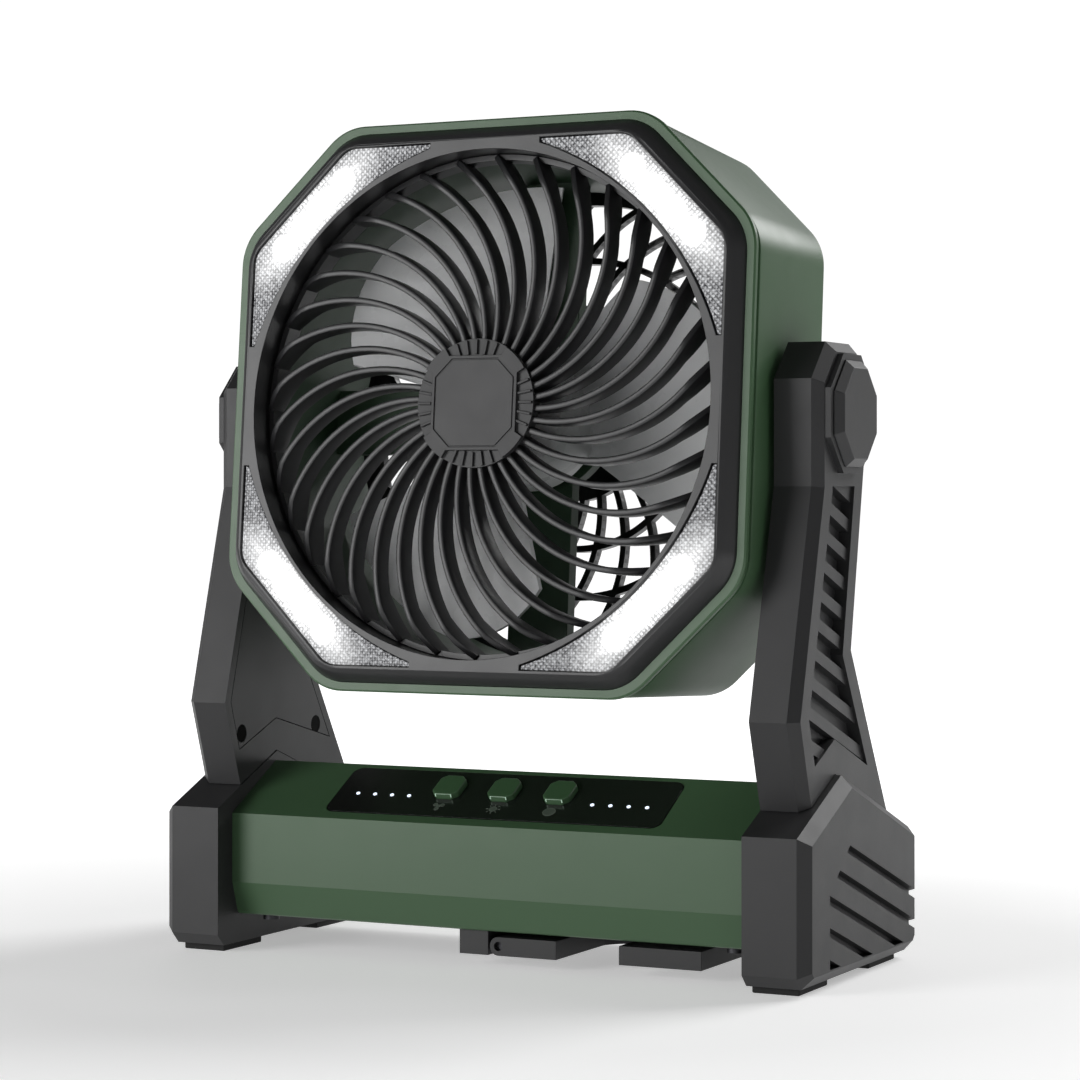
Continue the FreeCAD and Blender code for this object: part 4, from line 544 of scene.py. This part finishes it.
def built(bm, name, material, body, replaced=(), matrix=head_place, smooth=30):
    """Turn a bmesh into an object in its place, with faces that point outwards."""
    bmesh.ops.remove_doubles(bm, verts=bm.verts, dist=1e-4)
    bmesh.ops.recalc_face_normals(bm, faces=bm.faces)
    bm.transform(matrix)
    mesh = bpy.data.meshes.new(name)
    bm.to_mesh(mesh)
    bm.free()
    piece = bpy.data.objects.new(name, mesh)
    bpy.context.scene.collection.objects.link(piece)
    mesh.shade_smooth()
    mesh.set_sharp_from_angle(angle=math.radians(smooth))
    if material:
        dressed(piece, material, body, *replaced)
    return piece


def prism(points, low, high, turn=0, name="cutter"):
    bm = bmesh.new()
    face = bm.faces.new([bm.verts.new((x, y, low)) for x, y in points])
    grown = bmesh.ops.extrude_face_region(bm, geom=[face])
    moved = [item for item in grown["geom"] if isinstance(item, bmesh.types.BMVert)]
    bmesh.ops.translate(bm, verts=moved, vec=(0, 0, high - low))
    bm.transform(Matrix.Rotation(math.radians(turn), 4, "Z"))
    return built(bm, name, None, None)


def carved(piece, cutters):
    """Cut pieces away, keep the result as the piece's mesh and remove the cutters."""
    for cutter in cutters:
        cut = piece.modifiers.new("cut", "BOOLEAN")
        cut.object = cutter
        cut.operation = "DIFFERENCE"
        cut.solver = "EXACT"
    graph = bpy.context.evaluated_depsgraph_get()
    mesh = bpy.data.meshes.new_from_object(piece.evaluated_get(graph))
    piece.modifiers.clear()
    piece.data = mesh
    for cutter in cutters:
        bpy.data.objects.remove(cutter)
    return piece


print("solid helpers made")

# %% [markdown]
# ## Green head shell
#
# The shell tapers towards the back. At its mouth it ends in a raised rim, with a narrow
# step behind it that reads as a dark line in the photograph. Each ring below gives half
# the octagon's width, its corner leg, its depth and its corner radius. A round boss on
# either side meets the arm.

# %% Head shell
outer = [(98.0, 34.0, -30.0, 19), (100.8, 41.0, 35.0, 20), (100.6, 40.8, 35.5, 20),
         (98.7, 40.0, 35.9, 19), (98.7, 40.0, 38.7, 19), (100.9, 40.9, 39.0, 20),
         (101.5, 41.0, 39.6, 20), (101.5, 41.0, 41.4, 20), (100.9, 40.8, 42.0, 20)]
inner = [(98.4, 39.9, 42.0, 19), (98.3, 39.8, 41.0, 19), (95.7, 32.7, -29.6, 18),
         (96.3, 33.0, -30.0, 18)]
boss_radius, boss_thickness, boss_middle = 14, 5.0, 98.7
bm = bmesh.new()
rings = [(soft_octagon(half, leg, radius), depth) for half, leg, depth, radius in outer + inner]
bridged(bm, rings, close=True)
sideways = Matrix.Rotation(math.radians(90), 4, "Y")
for side in (-1, 1):
    bmesh.ops.create_cone(bm, cap_ends=True, segments=64, radius1=boss_radius, radius2=boss_radius,
                          depth=boss_thickness,
                          matrix=Matrix.Translation((side * boss_middle, 0, 0)) @ sideways)
shell = built(bm, "head_shell_moulded", green, "head", ["head_shell"], smooth=25)
print("shell faces:", len(shell.data.polygons))

# %% [markdown]
# ## Black bezel with its lamp windows
#
# The bezel is a ring with an octagonal outside and a round mouth. Its sloped outer edge
# comes from a solid loft. The mouth and the four window seats are cut out with Boolean
# modifiers, because cutters keep the round mouth truly round.

# %% Lamp window
window_arc = 110.0
window_arc_steps = 24


def window_outline(grow):
    """One corner window, grown by a margin: three straight sides and an arc inwards."""
    half = 92.3 + grow
    leg = 37.0 + grow * 0.5858
    tail = 21.9 - grow
    inner = 91.0 - grow
    start = Vector((tail, inner))
    end = Vector((inner, tail))
    chord = end - start
    side = Vector((chord.y, -chord.x)).normalized()
    centre = start + chord / 2 + side * math.sqrt(window_arc ** 2 - (chord.length / 2) ** 2)
    first = math.atan2(start.y - centre.y, start.x - centre.x)
    last = math.atan2(end.y - centre.y, end.x - centre.x)
    corners = [(half, tail, 0), (half, half - leg, 9), (half - leg, half, 9), (tail, half, 0)]
    for step in range(window_arc_steps + 1):
        angle = first + (last - first) * step / window_arc_steps
        corners.append((centre.x + window_arc * math.cos(angle),
                        centre.y + window_arc * math.sin(angle), 0))
    return softened(corners)


print("window points:", len(window_outline(0)))

# %% Bezel
mouth_radius = 89.5
throat_low, throat_high, throat_outer = 30, 40, 91.1
window_floor, window_gap = 44.8, 0.3
above_bezel = 60
bezel_corner = 18
bezel_rings = [(98.2, 39.8, 38.0), (98.2, 39.8, 42.2), (97.8, 39.5, 43.0), (95.6, 37.9, 46.4),
               (94.6, 37.2, 47.6), (93.6, 36.6, 48.2)]
bm = bmesh.new()
loops = bridged(bm, [(soft_octagon(half, leg, bezel_corner), depth) for half, leg, depth in bezel_rings])
bmesh.ops.contextual_create(bm, geom=loops[0])
bmesh.ops.contextual_create(bm, geom=loops[-1])
bezel = built(bm, "bezel_moulded", None, None)
bezel = carved(bezel, [prism(circle_points(mouth_radius), throat_low, above_bezel)]
               + [prism(window_outline(window_gap), window_floor, above_bezel, 90 * quarter)
                  for quarter in range(4)])
dressed(bezel, bezel_black, "head", "front_bezel")
bezel.data.shade_smooth()
bezel.data.set_sharp_from_angle(angle=math.radians(30))
eased_edges(bezel, 0.35)
bm = bmesh.new()
ring_wall(bm, mouth_radius, throat_outer, throat_low, throat_high)
built(bm, "bezel_throat", bezel_black, "head")
print("bezel faces:", len(bezel.data.polygons))

# %% [markdown]
# ## Lens covers
#
# Each window holds a clear cover that stands a little below the bezel's face. It is the
# window's own outline without the gap, extruded from the seat.

# %% Lens covers
cover_top = 47.4
for quarter, corner in enumerate(("top_right", "top_left", "bottom_left", "bottom_right")):
    cover = prism(window_outline(0), window_floor, cover_top, 90 * quarter, name="lens_cover_" + corner)
    dressed(cover, lamp_lens, "head", "lens_" + corner)
    eased_edges(cover, 0.3)
print("faces of one cover:", len(cover.data.polygons))

# %% [markdown]
# ## Swirling front grille
#
# Each rib is one arc in plan, eight millimetres tall, and dives to the wall at its outer
# end. One rib is swept along its arc as a small rounded section, and then copies turn
# around the axis until there are thirty-six.

# %% Grille helpers
rib_arc = 54.7
rib_start = math.radians(5.2)
rib_stop = math.radians(30)
rib_half, rib_soft = 1.1, 0.55


def rib_path(first, last, hand, steps):
    """Points of an arc between two radii, each with the direction across the rib."""
    foot = Vector((first * math.sin(rib_start) * hand, first * math.cos(rib_start)))
    tip = Vector((-last * math.sin(rib_stop) * hand, last * math.cos(rib_stop)))
    chord = tip - foot
    away = math.sqrt(rib_arc ** 2 - (chord.length / 2) ** 2)
    centre = (foot + tip) / 2 + Vector((-chord.y, chord.x)).normalized() * away * hand
    begin = math.atan2(foot.y - centre.y, foot.x - centre.x)
    end = math.atan2(tip.y - centre.y, tip.x - centre.x)
    turn = (end - begin + math.pi) % math.tau - math.pi
    for step in range(steps + 1):
        angle = begin + turn * step / steps
        out = Vector((math.cos(angle), math.sin(angle)))
        yield centre + out * rib_arc, out


def rib_section(point, out, top, low):
    """The rib's outline across its width, flat below and rounded on top."""
    near = rib_soft * 0.3
    shape = [(-rib_half, low), (rib_half, low), (rib_half, top - rib_soft),
             (rib_half - near, top - near), (rib_half - rib_soft, top),
             (rib_soft - rib_half, top), (near - rib_half, top - near),
             (-rib_half, top - rib_soft)]
    return [Vector((point.x + out.x * w, point.y + out.y * w, z)) for w, z in shape]


def swept_rib(bm, first, last, depth_at, hand=1, steps=22):
    rings = []
    for point, out in rib_path(first, last, hand, steps):
        top, low = depth_at(point.length)
        rings.append([bm.verts.new(corner) for corner in rib_section(point, out, top, low)])
    faces = []
    for here, ahead in zip(rings, rings[1:]):
        for i in range(len(here)):
            faces.append(bm.faces.new((here[i - 1], here[i], ahead[i], ahead[i - 1])))
    faces.append(bm.faces.new(rings[0]))
    faces.append(bm.faces.new(rings[-1]))
    return faces


def copied_round(bm, geometry, count):
    """Copies of what a bmesh holds, turned round the axis to make a count in all."""
    bmesh.ops.spin(bm, geom=geometry, axis=(0, 0, 1), cent=(0, 0, 0),
                   angle=math.tau * (count - 1) / count, steps=count - 1, use_duplicate=True)


print("grille helpers made")

# %% Front grille
rib_count = 36
rib_first, rib_last = 20.5, 88.4
rib_top, rib_low = 46.0, 38.0
top_dive_start, top_dive_length, top_dive = 80.0, 9.2, 8.0
low_dive_start, low_dive_length, low_dive = 76.0, 12.0, 7.0
wall_inner, wall_outer, wall_low = 87.3, 89.2, 30.0
centre_radius, centre_thickness, centre_middle = 21.5, 6.0, 43.0


def front_depth(radius):
    """The heights of a rib's top and underside, which both dive near the wall."""
    top_share = max(0.0, radius - top_dive_start) / top_dive_length
    low_share = min(1.0, max(0.0, radius - low_dive_start) / low_dive_length)
    return rib_top - top_dive * top_share ** 1.6, rib_low - low_dive * low_share


bm = bmesh.new()
rib = swept_rib(bm, rib_first, rib_last, front_depth)
copied_round(bm, rib, rib_count)
ring_wall(bm, wall_inner, wall_outer, wall_low, rib_low)
disc(bm, centre_radius, centre_thickness, centre_middle)
grille = built(bm, "front_grille_moulded", grille_black, "head", ["front_grille"], smooth=40)
print("grille faces:", len(grille.data.polygons))

# %% [markdown]
# ## Hub cap
#
# The cap is a flat disc. Four recesses open to its edge, each crossed by five thin
# slats, and the octagonal panel in the middle is left bare.

# %% Hub cap
cap_radius, cap_back, cap_face, above_cap = 22.7, 46.2, 48.6, 50
recess_floor = 47.2
seat_outline = soft_octagon(15.5, 6.4, 0.8, 3)
seat_floor = 48.1
panel_outline = soft_octagon(15.1, 6.3, 0.8, 3)
panel_back, panel_face = 47.9, 48.5
recess = [(16.6, -10.3), (24.7, -15.3), (24.7, 15.3), (16.6, 10.3)]
slat_place = (19.7, 0, 47.55)
slat_size = (5.2, 0.9, 1.3)
slat_turn = 10.5

cap = prism(circle_points(cap_radius, 128), cap_back, cap_face, name="hub_cap_moulded")
cap = carved(cap, [prism(recess, recess_floor, above_cap, 90 * quarter) for quarter in range(4)])
cap = carved(cap, [prism(seat_outline, seat_floor, above_cap)])
dressed(cap, charcoal, "head", "hub_cap")
eased_edges(cap, 0.2)
panel = prism(panel_outline, panel_back, panel_face, name="hub_panel")
dressed(panel, charcoal, "head")
eased_edges(panel, 0.2)
bm = bmesh.new()
for quarter in range(4):
    for step in range(-2, 3):
        block(bm, slat_place, slat_size, 90 * quarter + slat_turn * step)
slats = built(bm, "hub_slats", charcoal, "head")
eased_edges(slats, 0.2)
print("slat faces:", len(slats.data.polygons))

# %% [markdown]
# ## Rotor
#
# Three wide blades twist round the hub. Each is a grid of points: radius along one side,
# angle along the other, with height rising along the angle and a little camber. The
# outer edge is swept back over the leading part. Solidify gives the thickness.

# %% Blades
blade_root, blade_tip, blade_span = 24.0, 84.3, 84.5
blade_half_angle = math.radians(40.0)
blade_middle, blade_rise, blade_camber, blade_thickness = 12.0, 12.4, 1.8, 1.6
sweep_start, sweep_length, sweep_depth = 0.15, 0.85, 19.0
rows, columns = 20, 24


def blade_point(radius, share):
    """A point of the blade. The share runs from -1 at one edge to 1 at the other."""
    reach = radius / blade_span
    angle = blade_half_angle * share * (0.93 + 0.07 * reach)
    rise = blade_rise * share * (0.9 + 0.1 * reach)
    camber = blade_camber * (1 - share * share) * reach
    return (radius * math.cos(angle), radius * math.sin(angle), blade_middle + rise - camber)


def blade_reach(share):
    """The blade's outer radius, swept back over its leading part."""
    return blade_tip - sweep_depth * (max(0.0, share - sweep_start) / sweep_length) ** 1.6


bm = bmesh.new()
shares = [-1 + 2 * column / columns for column in range(columns + 1)]
grid = []
for row in range(rows + 1):
    grid.append([bm.verts.new(blade_point(
        blade_root + (blade_reach(share) - blade_root) * row / rows, share)) for share in shares])
for row in range(rows):
    for column in range(columns):
        bm.faces.new((grid[row][column], grid[row + 1][column],
                      grid[row + 1][column + 1], grid[row][column + 1]))
bmesh.ops.recalc_face_normals(bm, faces=bm.faces)
bmesh.ops.solidify(bm, geom=bm.faces[:], thickness=blade_thickness)
copied_round(bm, bm.faces[:], 3)
print("blade faces:", len(bm.faces))

# %% [markdown]
# The hub is a cup that covers the motor. Its outside is a stack of circles with a soft
# shoulder, closed at the front, and its inside is one straight wall.

# %% Hub of the rotor
rotor_turn = math.radians(5)
hub_bore, hub_low, hub_floor = 24.8, 2.0, 30.0
hub_turns = [(hub_bore, hub_low), (27.0, hub_low), (27.0, 31.4), (26.3, 32.6), (25.0, 33.0)]
loops = bridged(bm, [(circle_points(radius, 96), depth) for radius, depth in hub_turns])
bmesh.ops.contextual_create(bm, geom=loops[-1])
bridged(bm, [(circle_points(hub_bore, 96), hub_low), (circle_points(hub_bore, 96), hub_floor)])
bm.transform(Matrix.Rotation(rotor_turn, 4, "Z"))
rotor = built(bm, "fan_blades_moulded", blade_grey_painted_light, "rotor", ["fan_blades"], smooth=40)
print("rotor faces:", len(rotor.data.polygons))

# %% [markdown]
# ## Duct, motor mount and rear guard
#
# Behind the rotor the duct carries the motor on four wide struts, and the rear guard
# closes the back with ribs that curve the other way, so that the two grilles cross in
# diamonds.

# %% Duct
duct_inner, duct_outer, duct_low, duct_high = 87.4, 89.2, -28.0, 29.7
mount_radius, mount_thickness, mount_middle = 26, 6.0, -11
strut_place, strut_size = (54.2, 0, mount_middle), (68, 24, 6)
tab_place, tab_size = (94.2, 24, -26.5), (15, 10, 3)
bm = bmesh.new()
ring_wall(bm, duct_inner, duct_outer, duct_low, duct_high)
for quarter in range(4):
    block(bm, strut_place, strut_size, 90 * quarter)
disc(bm, mount_radius, mount_thickness, mount_middle)
for quarter in range(4):
    block(bm, tab_place, tab_size, 45 + 90 * quarter)
duct = built(bm, "fan_frame_moulded", green_painted_shade, "head", ["fan_frame"])
eased_edges(duct, 0.3)
print("duct faces:", len(duct.data.polygons))

# %% Rear guard
guard_front, guard_back = -37.0, -41.0
guard_first, guard_last, guard_rib_count = 26.0, 85.0, 24
guard_ring_half = 1.2
guard_disc_radius = 27


def guard_depth(radius):
    return guard_front, guard_back


bm = bmesh.new()
rib = swept_rib(bm, guard_first, guard_last, guard_depth, hand=-1)
copied_round(bm, rib, guard_rib_count)
for ring in (45.0, 63.0, 85.2):
    ring_wall(bm, ring - guard_ring_half, ring + guard_ring_half, guard_back, guard_front)
disc(bm, guard_disc_radius, guard_front - guard_back, (guard_front + guard_back) / 2)
guard = built(bm, "rear_guard_ribs", grille_black, "head", smooth=40)
eased("rear_guard", grille_black, 0.3, sharp=24)
print("rear guard faces:", len(guard.data.polygons))

# %% [markdown]
# ## Panel marks
#
# Under each button a small printed picture says what it does: a fan, a lamp and a clock.
# They are thin flat pieces laid on the panel, in the panel's own axes. A pale glowing
# strip at each button's edge is a painted highlight.

# %% Panel marks
panel_place = (Matrix.Translation((0, -0.0424, 0.0501)) @ Matrix.Rotation(math.radians(29), 4, "X")
               @ Matrix.Scale(0.001, 4))
print_low, print_high = 0.2, 0.32
fan_x, light_x, timer_x = -22, 0, 22
mark_y = 10.4
stroke = 0.3
strip_y, strip_height = 15.6, 1.45
strip_size = (6.4, 0.5, 1.2)


def flat_ring(bm, x, y, inner, outer):
    bridged(bm, [([(x + p, y + q) for p, q in circle_points(radius, 32)], depth) for radius, depth in (
        (inner, print_low), (outer, print_low), (outer, print_high), (inner, print_high))], close=True)


def flat_bar(bm, x, y, long, turn):
    """A printed stroke of a given length, turned round its own middle by degrees."""
    bmesh.ops.create_cube(bm, size=1, matrix=Matrix.Translation((x, y, (print_low + print_high) / 2))
                          @ Matrix.Rotation(math.radians(turn), 4, "Z")
                          @ Matrix.Diagonal((long, stroke, print_high - print_low, 1)))


bm = bmesh.new()
flat_ring(bm, fan_x, mark_y, 0.5, 0.9)
for k in range(3):
    angle = math.tau * k / 3 + 0.5
    flat_ring(bm, fan_x + 1.6 * math.cos(angle), mark_y + 1.6 * math.sin(angle), 0.6, 0.9)
flat_ring(bm, light_x, mark_y, 1.1, 1.5)
for k in range(8):
    angle = math.radians(45 * k)
    flat_bar(bm, light_x + 2.3 * math.cos(angle), mark_y + 2.3 * math.sin(angle), 0.9, 45 * k)
flat_ring(bm, timer_x, mark_y, 2.0, 2.4)
flat_bar(bm, timer_x, mark_y + 0.7, 1.6, 90)
flat_bar(bm, timer_x + 0.6, mark_y, 1.3, 0)
marks = built(bm, "panel_icons", icon_grey_painted_glow, "stand", matrix=panel_place)
for name, x in (("fan", fan_x), ("light", light_x), ("timer", timer_x)):
    bm = bmesh.new()
    # Each strip glows as a painted highlight on its button's edge.
    block(bm, (x, strip_y, strip_height), strip_size)
    built(bm, "stripe_" + name, stripe_green, "button_" + name, matrix=panel_place)
print("mark faces:", len(marks.data.polygons))

# %% [markdown]
# ## Pieces that keep their CAD shape
#
# Screws, boards, cells and the other inner pieces are mostly hidden, so they keep the
# frame's mesh and only get a finish. The arm screws sit at the bottom of deep holes, and
# their near-black finish is painted shade.

# %% Finishes for the other pieces
plain = {"motor_can": grille_black, "battery_cells": cell_blue, "battery_holder": charcoal,
         "control_board": board_white, "tact_switches": grille_black, "led_chips": light_white,
         "indicator_lights": light_white, "pivot_washer_left": grille_black,
         "pivot_washer_right": grille_black, "charge_port": steel}
kept = [name for name, node in nodes.items() if not (node.hide_render or node.get("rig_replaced"))]
for name in kept:
    finish = plain.get(name, board_white if name.startswith("lamp_board") else steel)
    if name.startswith("arm_screws"):
        finish = screw_painted_shade_black
    elif "screws" in name or name == "hook_pin":
        finish = dark_steel
    nodes[name].data.materials.clear()
    nodes[name].data.materials.append(finish)
print("pieces with their CAD shape:", len(kept))

# %% [markdown]
# ## Floor
#
# The fan stands on a white floor that runs into the white background. The lamps alone
# would leave a plain white plane grey in the distance, so it glows a little, more with
# the distance from the fan, and a soft shadow is left only near the base.

# %% Floor
floor_half = 6
near_glow, far_glow = 0.4, 1.0
glow_start, glow_fade = 0.2, 0.6
bm = bmesh.new()
bmesh.ops.create_grid(bm, x_segments=1, y_segments=1, size=floor_half)
paint = Finish("floor_white", roughness=0.7)
paint.give("Base Color", paint.blend(paint.noise(2.0), (0.86, 0.86, 0.86), (0.9, 0.9, 0.9)))
away = paint.node("ShaderNodeVectorMath", {"operation": "LENGTH"}, {0: paint.place()}, "Value")
# Painted light: the floor glows more with the distance, so it stays darker round the fan.
floor_painted_light = near_glow + ((away - glow_start) / glow_fade).clamped() * (far_glow - near_glow)
paint.give("Emission Color", paint.blend(floor_painted_light, black, white))
paint.give("Emission Strength", 1.0)
floor = built(bm, "floor", None, None, matrix=Matrix.Identity(4))
floor.data.materials.append(paint.material)
print("floor faces:", len(floor.data.polygons))

# %% [markdown]
# ## End
#

# %% End
print("notebook ends")
